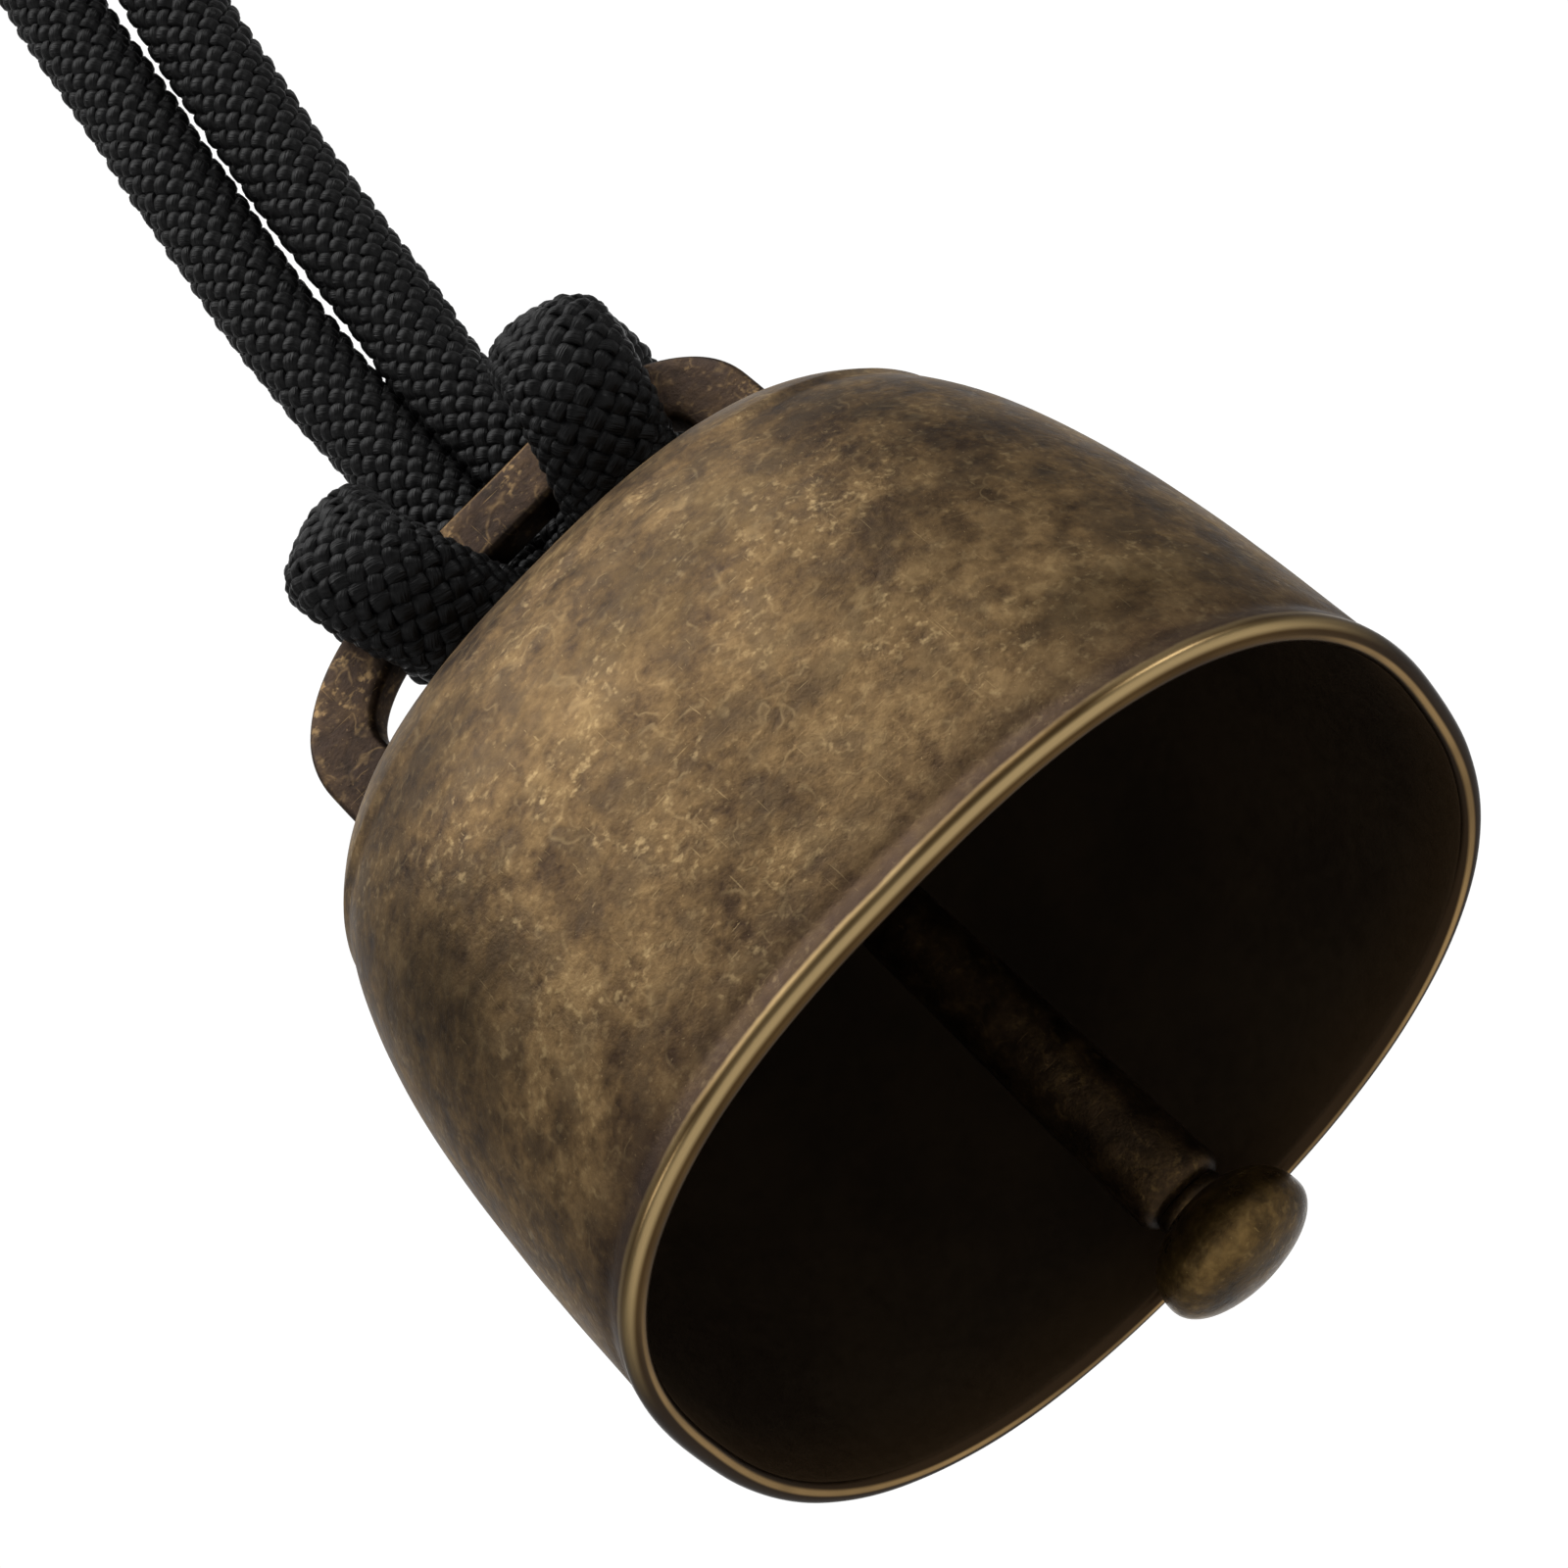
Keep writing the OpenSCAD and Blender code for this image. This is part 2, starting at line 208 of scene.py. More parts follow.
# ------------------------------------------------------------------ node trees
class Tree:
    """Short names for building a material's nodes."""

    def __init__(self, name):
        self.mat = bpy.data.materials.new(name)
        self.mat.use_nodes = True
        self.nt = self.mat.node_tree
        self.nt.nodes.clear()
        self.out = self.nt.nodes.new("ShaderNodeOutputMaterial")
        self.bsdf = self.nt.nodes.new("ShaderNodeBsdfPrincipled")
        self.nt.links.new(self.bsdf.outputs[0], self.out.inputs[0])
        self.coord = self.nt.nodes.new("ShaderNodeTexCoord").outputs["Object"]

    def new(self, kind):
        return self.nt.nodes.new(kind)

    def link(self, a, b):
        if isinstance(a, (int, float)):
            b.default_value = a
        elif isinstance(a, (tuple, list)):
            a = tuple(a)
            n = len(b.default_value)
            b.default_value = a if len(a) == n else (a + (1.0,))[:n]
        else:
            self.nt.links.new(a, b)

    def set(self, **kw):
        names = {"color": "Base Color", "metallic": "Metallic", "rough": "Roughness", "normal": "Normal", "ior": "IOR", "spec": "Specular IOR Level", "sheen": "Sheen Weight", "sheen_rough": "Sheen Roughness", "sheen_tint": "Sheen Tint", "coat": "Coat Weight", "coat_rough": "Coat Roughness", "aniso": "Anisotropic", "spec_tint": "Specular Tint"}
        for k, v in kw.items():
            self.link(v, self.bsdf.inputs[names[k]])

    def math(self, op, a, b=0.0, c=0.0, clamp=False):
        n = self.new("ShaderNodeMath")
        n.operation = op
        n.use_clamp = clamp
        for s, x in zip(n.inputs, (a, b, c)):
            self.link(x, s)
        return n.outputs[0]

    def mul(self, a, b):
        return self.math("MULTIPLY", a, b)

    def add(self, a, b):
        return self.math("ADD", a, b)

    def sub(self, a, b):
        return self.math("SUBTRACT", a, b)

    def step(self, a, lo, hi, to0=0.0, to1=1.0):
        n = self.new("ShaderNodeMapRange")
        n.interpolation_type = "SMOOTHSTEP"
        self.link(a, n.inputs[0])
        for i, x in zip((1, 2, 3, 4), (lo, hi, to0, to1)):
            n.inputs[i].default_value = x
        return n.outputs[0]

    def line(self, a, lo, hi, to0=0.0, to1=1.0):
        n = self.new("ShaderNodeMapRange")
        self.link(a, n.inputs[0])
        for i, x in zip((1, 2, 3, 4), (lo, hi, to0, to1)):
            n.inputs[i].default_value = x
        return n.outputs[0]

    def mix(self, f, a, b, kind="MIX"):
        n = self.new("ShaderNodeMix")
        n.data_type = "RGBA"
        n.blend_type = kind
        self.link(f, n.inputs[0])
        self.link(a, n.inputs[6])
        self.link(b, n.inputs[7])
        return n.outputs[2]

    def mixf(self, f, a, b):
        n = self.new("ShaderNodeMix")
        n.data_type = "FLOAT"
        self.link(f, n.inputs[0])
        self.link(a, n.inputs[2])
        self.link(b, n.inputs[3])
        return n.outputs[0]

    def scaled(self, v, s, off=(0, 0, 0), rot=(0, 0, 0)):
        n = self.new("ShaderNodeMapping")
        self.link(v, n.inputs[0])
        n.inputs["Location"].default_value = off
        n.inputs["Rotation"].default_value = rot
        n.inputs["Scale"].default_value = (s, s, s) if isinstance(s, (int, float)) else s
        return n.outputs[0]

    def noise(self, scale, detail=3.0, rough=0.5, distort=0.0, vec=None, seed=0.0):
        """scale is features per metre."""
        n = self.new("ShaderNodeTexNoise")
        n.inputs["Scale"].default_value = scale
        n.inputs["Detail"].default_value = detail
        n.inputs["Roughness"].default_value = rough
        n.inputs["Distortion"].default_value = distort
        v = self.coord if vec is None else vec
        if seed:
            v = self.scaled(v, 1.0, (seed, seed * 0.7, -seed * 1.3))
        self.link(v, n.inputs["Vector"])
        return n.outputs["Fac"]

    def cells(self, scale, feature="F1", vec=None, rand=1.0, seed=0.0):
        n = self.new("ShaderNodeTexVoronoi")
        n.feature = feature
        n.inputs["Scale"].default_value = scale
        n.inputs["Randomness"].default_value = rand
        v = self.coord if vec is None else vec
        if seed:
            v = self.scaled(v, 1.0, (seed, seed * 0.7, -seed * 1.3))
        self.link(v, n.inputs["Vector"])
        return n.outputs["Distance"], n.outputs["Color"] if feature != "DISTANCE_TO_EDGE" else None

    def ramp(self, f, stops, ease=False):
        n = self.new("ShaderNodeValToRGB")
        cr = n.color_ramp
        cr.interpolation = "EASE" if ease else "LINEAR"
        while len(cr.elements) < len(stops):
            cr.elements.new(0.5)
        for el, (p, c) in zip(cr.elements, stops):
            el.position = p
            el.color = tuple(c) + (1.0,) if len(c) == 3 else c
        self.link(f, n.inputs[0])
        return n.outputs[0]

    def bump(self, height, strength=1.0, distance=0.0001, normal=None):
        n = self.new("ShaderNodeBump")
        n.inputs["Strength"].default_value = strength
        n.inputs["Distance"].default_value = distance
        self.link(height, n.inputs["Height"])
        if normal is not None:
            self.link(normal, n.inputs["Normal"])
        return n.outputs[0]

    def attr(self, name, vector=False):
        n = self.new("ShaderNodeAttribute")
        n.attribute_name = name
        return n.outputs["Vector" if vector else "Fac"]

    def xyz(self, v=None):
        n = self.new("ShaderNodeSeparateXYZ")
        self.link(self.coord if v is None else v, n.inputs[0])
        return n.outputs

    def join(self, x, y, z):
        n = self.new("ShaderNodeCombineXYZ")
        for s, a in zip(n.inputs, (x, y, z)):
            self.link(a, s)
        return n.outputs[0]


def srgb(r, g, b):
    """An 8-bit display colour as linear light."""
    return tuple(((c / 255) / 12.92 if c / 255 <= 0.04045 else ((c / 255 + 0.055) / 1.055) ** 2.4) for c in (r, g, b))


# ------------------------------------------------------------------ materials
def cord_material(name, base):
    t = Tree(name)
    yv = t.attr("yarn", vector=True)  # across, along (mm), random per float
    o = t.xyz(yv)
    fine = t.noise(1.0, 2.0, 0.6, vec=t.join(t.mul(o[0], 9.0), t.mul(o[1], 0.55), t.mul(o[2], 7.0)))
    finer = t.noise(1.0, 1.0, 0.5, vec=t.join(t.mul(o[0], 26.0), t.mul(o[1], 0.9), t.mul(o[2], 13.0)))
    h = t.add(t.mul(fine, 0.6), t.mul(finer, 0.4))
    tone = t.noise(900, 2, 0.5)
    dark = tuple(c * 0.45 for c in base)
    lite = tuple(c * 1.9 for c in base)
    col = t.mix(t.step(h, 0.3, 0.7), dark + (1,), lite + (1,))
    col = t.mix(t.mul(t.step(tone, 0.35, 0.7), 0.5), col, base + (1,))
    # painted shade where the strands press between the hitch's turns
    p = t.xyz()
    painted_press_shade = t.mul(t.mul(t.step(p[2], -0.052, -0.060), t.step(p[1], 0.0015, 0.003)), t.step(p[1], 0.0075, 0.0065))
    col = t.mix(t.mul(painted_press_shade, 0.6), col, tuple(c * 0.15 for c in base) + (1,))
    t.set(color=col, metallic=0.0, rough=t.line(fine, 0.2, 0.8, 0.3, 0.5), normal=t.bump(h, 0.8, 0.00012))
    t.set(spec=0.22, sheen=0.03, sheen_rough=0.4)
    return t.mat


def melted_material():
    t = Tree("cord_melted")
    n = t.noise(600, 3, 0.5)
    col = t.mix(t.step(n, 0.3, 0.7), (0.004, 0.004, 0.004, 1), (0.016, 0.015, 0.014, 1))
    t.set(color=col, rough=t.line(n, 0.2, 0.8, 0.22, 0.5), normal=t.bump(n, 0.6, 0.0002), spec=0.5)
    return t.mat


def patina(name, tones, rough=(0.34, 0.52), seed=0.0, specks=1.0, lip=False, metallic=0.9, bump=1.0):
    """Antiqued brass: a brown skin, mottled at three scales, with worn pale specks and fine scratches."""
    t = Tree(name)
    big = t.noise(120, 4, 0.55, 0.4, seed=seed + 0.31)
    mid = t.noise(720, 4, 0.6, 0.15, seed=seed + 0.77)
    fine = t.noise(1900, 3, 0.65, 0.2, seed=seed + 0.13)
    tint = t.noise(420, 3, 0.55, 0.5, seed=seed + 0.53)
    wide = t.noise(260, 3, 0.5, 0.3, seed=seed + 0.91)
    f = t.add(t.add(t.add(t.mul(big, 0.30), t.mul(wide, 0.24)), t.mul(mid, 0.40)), t.mul(fine, 0.22))
    col = t.ramp(f, [(0.46, tones[0]), (0.54, tones[1]), (0.61, tones[2]), (0.69, tones[3])])
    col = t.mix(t.mul(t.step(tint, 0.46, 0.66), 0.45), col, tones[4] + (1,))
    # worn specks: many small golden grains, and a few larger pale ones
    d, c = t.cells(2600, seed=seed + 0.2)
    dn = t.add(d, t.mul(t.sub(t.noise(5200, 2, 0.6, seed=seed), 0.5), 0.6))
    speck = t.mul(t.mul(t.step(dn, 0.46, 0.16), t.step(t.xyz(c)[0], 0.55, 0.95)), t.step(mid, 0.46, 0.60))
    d2, c2 = t.cells(900, seed=seed + 1.2)
    dn2 = t.add(d2, t.mul(t.sub(t.noise(3600, 2, 0.6, seed=seed + 0.5), 0.5), 0.5))
    speck2 = t.mul(t.step(dn2, 0.26, 0.08), t.step(t.xyz(c2)[1], 0.78, 0.98))
    grain = t.mul(t.step(t.noise(2200, 2, 0.55, 0.1, seed=seed + 0.41), 0.52, 0.74), t.step(wide, 0.44, 0.62))
    speck = t.math("MAXIMUM", t.math("MAXIMUM", t.mul(speck, 0.20), t.mul(speck2, 0.16)), t.mul(grain, 0.42))
    # thin wandering lines where the skin is rubbed through
    for k in (0, 1):
        vein = t.math("ABSOLUTE", t.sub(t.noise(330 + 150 * k, 2, 0.5, 0.2, seed=seed + 1.7 + k), 0.5), 0.0)
        vein = t.mul(t.step(vein, 0.030, 0.0), t.step(t.noise(640, 2, 0.5, seed=seed + 2.9 + k), 0.50, 0.66))
        speck = t.math("MAXIMUM", speck, t.mul(vein, 0.17))
    # scratches
    scr = None
    for i, (rot, sc) in enumerate((((0.4, 0.9, 0.3), (6200, 210, 6200)), ((-0.5, 0.2, 1.1), (5600, 5600, 240)), ((0.9, -0.7, -0.6), (230, 6800, 6800)))):
        w = t.noise(1.0, 2.0, 0.5, 0.15, vec=t.scaled(t.coord, sc, (i * 1.7, 0.3, 0.9), rot))
        s = t.step(w, 0.70, 0.76)
        scr = s if scr is None else t.math("MAXIMUM", scr, s)
    wear = t.math("MAXIMUM", t.mul(speck, specks), t.mul(scr, 0.26 * specks))
    col = t.mix(wear, col, tones[5] + (1,))
    r = t.line(mid, 0.25, 0.75, rough[0], rough[1])
    r = t.sub(r, t.mul(wear, 0.10))
    h = t.add(t.add(t.mul(mid, 0.5), t.mul(fine, 0.35)), t.mul(t.noise(5200, 2, 0.6), 0.15))
    h = t.sub(h, t.mul(scr, 0.05))
    if lip:
        h = t.mul(h, t.step(t.mul(t.add(t.xyz()[2], 0.112), 1000.0), 0.7, 1.6, 0.08, 1.0))
    t.set(color=col, metallic=metallic, rough=r, normal=t.bump(h, 0.75 * bump, 0.00010))
    return t, col, r


def shell_material():
    tones = [srgb(74, 56, 39), srgb(108, 85, 57), srgb(136, 109, 73), srgb(162, 133, 91), srgb(102, 84, 62), srgb(222, 192, 138)]
    t, col, r = patina("bell_patina", tones, rough=(0.42, 0.60), lip=True)
    o = t.xyz()
    x = t.mul(t.add(o[0], 0.009), 1000.0)
    y = t.mul(o[1], 1000.0)
    z = t.mul(t.add(o[2], 0.112), 1000.0)
    wob = t.noise(520, 3, 0.6, seed=0.9)
    soft = t.noise(170, 3, 0.55, 0.3, seed=2.3)

    def cloud(cx, cz, rx, rz):
        """A dark cloud on the front, round the point (cx, cz)."""
        u = t.mul(t.sub(x, cx), 1.0 / rx)
        v = t.mul(t.sub(z, cz), 1.0 / rz)
        d = t.math("SQRT", t.add(t.mul(u, u), t.mul(v, v)), 0.0)
        return t.mul(t.step(t.add(d, t.mul(t.sub(soft, 0.5), 1.3)), 1.15, 0.25), t.step(y, -4.0, -9.0))

    for cx, cz, rx, rz, k in ((-15.5, 17.5, 5.0, 7.5, 0.62), (15.5, 5.0, 5.5, 3.6, 0.5), (-10.0, 27.0, 5.0, 5.0, 0.30), (2.0, 22.0, 6.0, 4.0, 0.26), (9.0, 14.0, 5.0, 5.0, 0.22), (6.5, 22.5, 5.0, 3.0, 0.25)):
        col = t.mix(t.mul(cloud(cx, cz, rx, rz), k), col, srgb(50, 37, 20) + (1,))
    # darker round the crown's top under the cord: stain, and painted shade under the wraps
    crown = t.mul(t.step(t.add(z, t.mul(t.sub(soft, 0.5), 4.0)), 34.0, 36.4), 0.4)
    col = t.mix(crown, col, srgb(60, 44, 24) + (1,))
    # darker bands just above the lip, the lowest purple-grey: patina tint, and painted reflection of the dark room
    # below
    zz = t.add(z, t.mul(t.sub(wob, 0.5), 0.9))
    col = t.mix(t.mul(t.step(zz, 5.2, 1.6), 0.50), col, srgb(74, 56, 42) + (1,))
    col = t.mix(t.mul(t.step(zz, 2.6, 0.9), 0.55), col, srgb(66, 50, 46) + (1,))
    # the rounded lip: worn golden in front with painted light, a painted highlight on its ridge and a painted shade
    # line; painted shade at the back and sides, with one thin painted highlight line
    edge = t.step(t.add(z, t.mul(t.sub(wob, 0.5), 0.2)), 1.02, 0.70)
    xa = t.math("POWER", t.math("ABSOLUTE", t.mul(x, 1 / 22.0), 0.0), 2.5)
    ya = t.math("POWER", t.math("ABSOLUTE", t.mul(y, 1 / 17.4), 0.0), 2.5)
    inw = t.mul(t.sub(1.0, t.math("POWER", t.add(xa, ya), 0.4)), 1 / 0.055)
    long_ = t.noise(110, 3, 0.55, seed=1.4)
    # painted light: the near side takes the lit lip colours, the back and sides the shaded ones
    front = t.step(y, -4.0, -13.0)
    worn_lit_front_lip = t.mix(t.step(long_, 0.35, 0.65), srgb(90, 68, 40) + (1,), srgb(116, 90, 54) + (1,))
    worn_lit_front_lip = t.mix(t.mul(t.step(inw, 0.55, 1.0), 0.75), worn_lit_front_lip, srgb(60, 45, 28) + (1,))
    # painted highlight along the lip's ridge
    painted_ridge_highlight = t.mul(t.step(inw, 0.02, 0.14), t.step(inw, 0.40, 0.22))
    worn_lit_front_lip = t.mix(t.mul(painted_ridge_highlight, 0.65), worn_lit_front_lip, srgb(236, 204, 146) + (1,))
    # painted shade line, as of a groove
    painted_groove_shade = t.mul(t.step(inw, 0.36, 0.42), t.step(inw, 0.52, 0.46))
    worn_lit_front_lip = t.mix(t.mul(painted_groove_shade, 0.45), worn_lit_front_lip, srgb(80, 58, 32) + (1,))
    # painted highlight line on the lip at the back and sides
    painted_back_highlight_line = t.mul(t.step(inw, 0.52, 0.64), t.step(inw, 0.84, 0.72))
    painted_back_lip = t.mix(t.mul(painted_back_highlight_line, t.step(long_, 0.3, 0.6, 0.45, 0.95)), srgb(58, 43, 27) + (1,), srgb(206, 168, 112) + (1,))
    col = t.mix(edge, col, t.mix(front, painted_back_lip, worn_lit_front_lip))
    t.set(color=col, rough=t.mixf(edge, r, 0.3))
    return t.mat


def inner_material():
    t = Tree("bell_inside")
    n = t.noise(150, 3, 0.5, 0.3)
    n2 = t.noise(1500, 3, 0.6)
    z = t.mul(t.add(t.xyz()[2], 0.112), 1000.0)
    col = t.mix(t.step(t.add(t.mul(n, 0.7), t.mul(n2, 0.3)), 0.35, 0.68), srgb(45, 35, 24) + (1,), srgb(56, 44, 30) + (1,))
    # lighter towards the mouth: wear, and painted light reaching in at the mouth
    mouth_wear_and_light = t.step(t.add(z, t.mul(t.sub(n, 0.5), 1.5)), 5.0, 0.0)
    col = t.mix(t.mul(mouth_wear_and_light, 0.6), col, srgb(74, 55, 33) + (1,))
    t.set(color=col, metallic=0.35, rough=t.line(n2, 0.3, 0.7, 0.55, 0.75), normal=t.bump(n2, 0.3, 0.0001), spec=0.2)
    return t.mat


def bail_material():
    """The bail's patina, with painted shade on the bar's underside and a bright line along its top edge that is wear
    and painted highlight.
    """
    t, col, r = patina("bail_patina", BAIL_TONES, rough=(0.4, 0.58), seed=2.0, specks=1.0)
    o = t.xyz()
    z = t.mul(t.add(o[2], 0.112), 1000.0)
    x = t.math("ABSOLUTE", t.mul(t.add(o[0], 0.009), 1000.0), 0.0)
    # painted shade on the bar's underside
    under = t.mul(t.mul(t.step(z, 45.3, 44.8), t.step(z, 43.5, 44.3)), t.step(x, 9.0, 7.5))
    col = t.mix(t.mul(under, 0.8), col, srgb(14, 10, 8) + (1,))
    # bright line along the bar's top edge: worn brass, and painted highlight
    top = t.mul(t.step(z, 47.9, 48.15), t.step(x, 9.0, 8.0))
    col = t.mix(t.mul(top, 0.6), col, srgb(190, 150, 96) + (1,))
    t.set(color=col)
    return t.mat


def striker_material():
    """Worn brass, lighter than the shank."""
    t = patina("striker_brass", [srgb(60, 45, 23), srgb(88, 67, 35), srgb(112, 87, 47), srgb(138, 109, 62), srgb(84, 66, 38), srgb(206, 170, 106)], rough=(0.24, 0.40), seed=5.0, specks=0.8)[0]
    t.set(metallic=0.75)
    return t.mat


BAIL_TONES = [srgb(44, 34, 26), srgb(62, 48, 38), srgb(78, 61, 47), srgb(98, 77, 56), srgb(68, 54, 46), srgb(214, 176, 120)]
ROD_TONES = [srgb(36, 27, 18), srgb(52, 39, 25), srgb(66, 50, 32), srgb(84, 64, 40), srgb(54, 42, 30), srgb(150, 120, 72)]

mat_shell = shell_material()
mat_inner = inner_material()
mat_bail = bail_material()
mat_wire = patina("wire_patina", ROD_TONES, rough=(0.36, 0.5), seed=3.0, specks=0.5)[0].mat
mat_rod = patina("rod_patina", ROD_TONES, rough=(0.3, 0.46), seed=4.0, specks=0.7)[0].mat
mat_head = striker_material()
BLACK = (0.0026, 0.0026, 0.0028)
mat_cord = cord_material("cord_yarn", BLACK)
mat_core = melted_material()

# ------------------------------------------------------------------ the cord
# The route, as in the construction: left strand down, hitch round the bar, right strand up.
LEFT = [(6.5, 0, 112), (5.5, 0.6, 104), (4.5, 1, 98), (3.6, 1.5, 92), (2.3, 2.1, 84), (1.4, 2.6, 78), (0.5, 3, 72), (-0.1, 3.5, 66), (-0.7, 4, 60), (-1, 4.4, 54)]
RIGHT = [(11.7, 0, 112), (11.4, 0.6, 104), (10.4, 1, 98), (9.1, 1.5, 92), (7.7, 2.1, 84), (6.7, 2.6, 78), (5.9, 3, 72), (5.1, 3.5, 66), (4.4, 4, 60), (4.1, 4.4, 54)]
HITCH_X = 1.3
HITCH_L = [(2.5, 4.5, 49.1), (2.5, 4.5, 46.1), (3.1, 3.2, 42.9), (4.7, 0, 41.8), (6, -3.6, 43.1), (7, -4.9, 46.7), (6.9, -3.5, 49.8), (6.8, 0, 51.3), (7, 3.5, 51.1), (6.2, 7.4, 50.2), (4.6, 9.4, 49.1), (2.4, 9.8, 48.7)]
HITCH_R = [(2.5, 4.5, 49.1), (2.5, 4.5, 46.1), (3.1, 3.2, 42.8), (4.5, 0, 41.7), (5.7, -3.6, 42.9), (6.7, -4.9, 46), (7, -3.5, 49.2), (7.3, -0.2, 50.6), (7.5, 3.4, 50.3), (6.6, 7.3, 49.5), (4.8, 9.3, 48.8), (2.4, 9.8, 48.6)]
# The knot's two cords, seen from the row's origin, from the strands up to the tails.
KNOT_A = [(-2.4, 0, 3.5), (-2.5, -0.3, 6.1), (-2.8, -0.4, 8.6), (-3.2, -0.9, 11.1), (-4.1, -2.3, 13), (-5.1, -4.1, 14.5), (-5.7, -5.9, 16.2), (-5.8, -7.5, 18.2), (-5.3, -8.7, 20.4), (-4.2, -9.3, 22.6), (-2.7, -9.4, 24.7), (-1, -8.7, 26.4), (0.8, -7.1, 27.4), (2.2, -5, 27.7), (3.5, -2.8, 27.6), (4.5, -0.4, 27.2), (4.6, 1.9, 26.2), (3.6, 3.7, 24.7), (1.9, 4.5, 23), (-0.1, 4.5, 21.4), (-2.1, 4.4, 19.8), (-4.2, 4.2, 18.2), (-6.1, 3.8, 16.6), (-7.6, 2.8, 14.7), (-8.3, 1.3, 12.8), (-8.4, -0.5, 11.1), (-7.7, -2.5, 9.6), (-6.1, -4.3, 8.9), (-3.8, -5.4, 9.2), (-1.5, -5.4, 10.2), (0.4, -4.5, 11.6), (1.9, -3.5, 13.5), (2.7, -2.5, 15.7), (2.6, -1.6, 18.1), (2, -1, 20.5), (1.1, -0.4, 22.8), (0.1, 0.1, 25.1), (-0.2, 0.5, 27.6), (0.2, 0.9, 30.2), (0.8, 1.3, 32.7), (1.6, 1.6, 35.2), (2.6, 1.9, 37.6)]
KNOT_B = [(2.6, 0.6, 3.5), (2.3, 0.9, 6.1), (2, 1.2, 8.6), (1.4, 1.4, 11.1), (0.4, 1.5, 13.5), (-0.9, 1, 15.7), (-2.1, -0.6, 17.2), (-2.2, -2.8, 18.5), (-1.2, -4.9, 17.9), (-0.8, -7.1, 17.2), (-0.4, -9.3, 18.2), (1, -10.9, 19.6), (3.1, -11.2, 21), (5.3, -10.4, 22.1), (6.8, -8.3, 22.5), (7.5, -5.9, 22.2), (7.4, -3.4, 21.4), (7.2, -1, 20.6), (6.5, 1.3, 19.6), (5.1, 3, 18.3), (3.5, 4.5, 16.9), (1.8, 5.8, 15.5), (-0.1, 6.4, 13.9), (-2, 5.7, 12.2), (-3.7, 4.8, 10.6), (-5.4, 3.8, 8.9), (-6.7, 2.4, 7.2), (-7.3, 0.4, 5.6), (-7, -1.8, 4.5), (-5.5, -3.8, 4), (-3.4, -5.4, 4.1), (-1.4, -6.8, 4.9), (0.4, -8, 6.3), (1.8, -8.7, 8.3), (2.7, -8.9, 10.7), (3.3, -8.4, 13.2), (3.8, -7.8, 15.7), (3.9, -7.1, 18.1), (2.9, -6.4, 20.4), (1.2, -5.8, 22.2), (-1, -4.9, 23.2), (-2.6, -4.2, 25), (-3.2, -4.1, 27.5), (-3.5, -4.4, 30.1), (-4.1, -4.8, 32.6), (-4.9, -5.2, 35), (-5.8, -5.6, 37.3)]


def up_at_knot(pts):
    return [(x + 9.0, y, z + 112.0) for x, y, z in pts]


route = (
    up_at_knot(KNOT_A)[::-1]
    + LEFT
    + [(HITCH_X - x, y, z) for x, y, z in HITCH_L]
    + [(HITCH_X, 9.8, 48.6)]
    + [(HITCH_X + x, y, z) for x, y, z in HITCH_R[::-1]]
    + RIGHT[::-1]
    + up_at_knot(KNOT_B)
)
line, along = evenly(catmull(route, 20), 0.25)
line = soften(line, 4.0)
# The soft cord gives a little: the two strands press together, and the hitch beds onto the bar.
legs = smoothstep(66, 60, line[:, 2]) * smoothstep(2.5, 4.0, line[:, 1]) * smoothstep(6.5, 5.5, line[:, 1])
line[:, 0] += 0.27 * legs * np.sign(1.3 - line[:, 0])
off_bar = np.stack([line[:, 1], line[:, 2] - 46.45], 1)
far_bar = np.linalg.norm(off_bar, axis=1)[:, None]
line[:, 1:] -= 0.15 * (smoothstep(8.5, 5.5, far_bar[:, 0]) * smoothstep(2.6, 4.2, np.abs(line[:, 0] - 1.3)))[:, None] * off_bar / (far_bar + 1e-9)
line, along = evenly(line, 0.25)
CORD_LEN = float(along[-1])
tan, nrm, bin_ = frames(line, (1, 0, 0))

# Pressed flat where it wraps the bar: how much, and towards what.
BAR = np.array([0.0, 46.45])
to_bar = np.stack([np.zeros(len(line)), -line[:, 1], BAR[1] - line[:, 2]], 1)
to_bar -= (to_bar * tan).sum(1)[:, None] * tan
to_bar /= np.linalg.norm(to_bar, axis=1)[:, None] + 1e-9
# ... leaning outwards where it goes over the bail's sloping shoulder
roll = np.radians(21) * smoothstep(47, 50, line[:, 2]) * smoothstep(6, 3, np.abs(line[:, 1])) * np.where(line[:, 0] < HITCH_X, 1, -1)
side_ = np.cross(tan, to_bar)
side_ *= np.sign(side_[:, :1] + 1e-9)
to_bar = to_bar * np.cos(roll)[:, None] + side_ * np.sin(roll)[:, None]
dist_bar = np.hypot(line[:, 1], line[:, 2] - BAR[1])
side_off = np.abs(line[:, 0] - HITCH_X)
flat_amt = smoothstep(8.5, 5.2, dist_bar) * smoothstep(2.6, 4.2, side_off) * smoothstep(60, 54, line[:, 2])
flat_amt = soften(flat_amt[:, None], 5.0)[:, 0]
# The cord is a little thinner where it is drawn tight above the bar, and fuller higher up.
mid_s = float(along[np.argmin(np.hypot(line[:, 0] - HITCH_X, line[:, 1] - 9.8))])
on_left = along < mid_s
girth = np.where(on_left, np.interp(line[:, 2], [53, 60, 66, 72, 92, 112, 116], [1.0, 1.0, 1.0, 1.03, 1.04, 1.04, 1.0]), np.interp(line[:, 2], [53, 60, 66, 72, 80, 92, 112, 116], [1.0, 1.0, 1.01, 1.04, 1.06, 1.09, 1.06, 1.0]))
near_bar = smoothstep(60, 53, line[:, 2])
girth = soften((girth * (1 - near_bar) + 1.0 * near_bar)[:, None], 12.0)[:, 0]
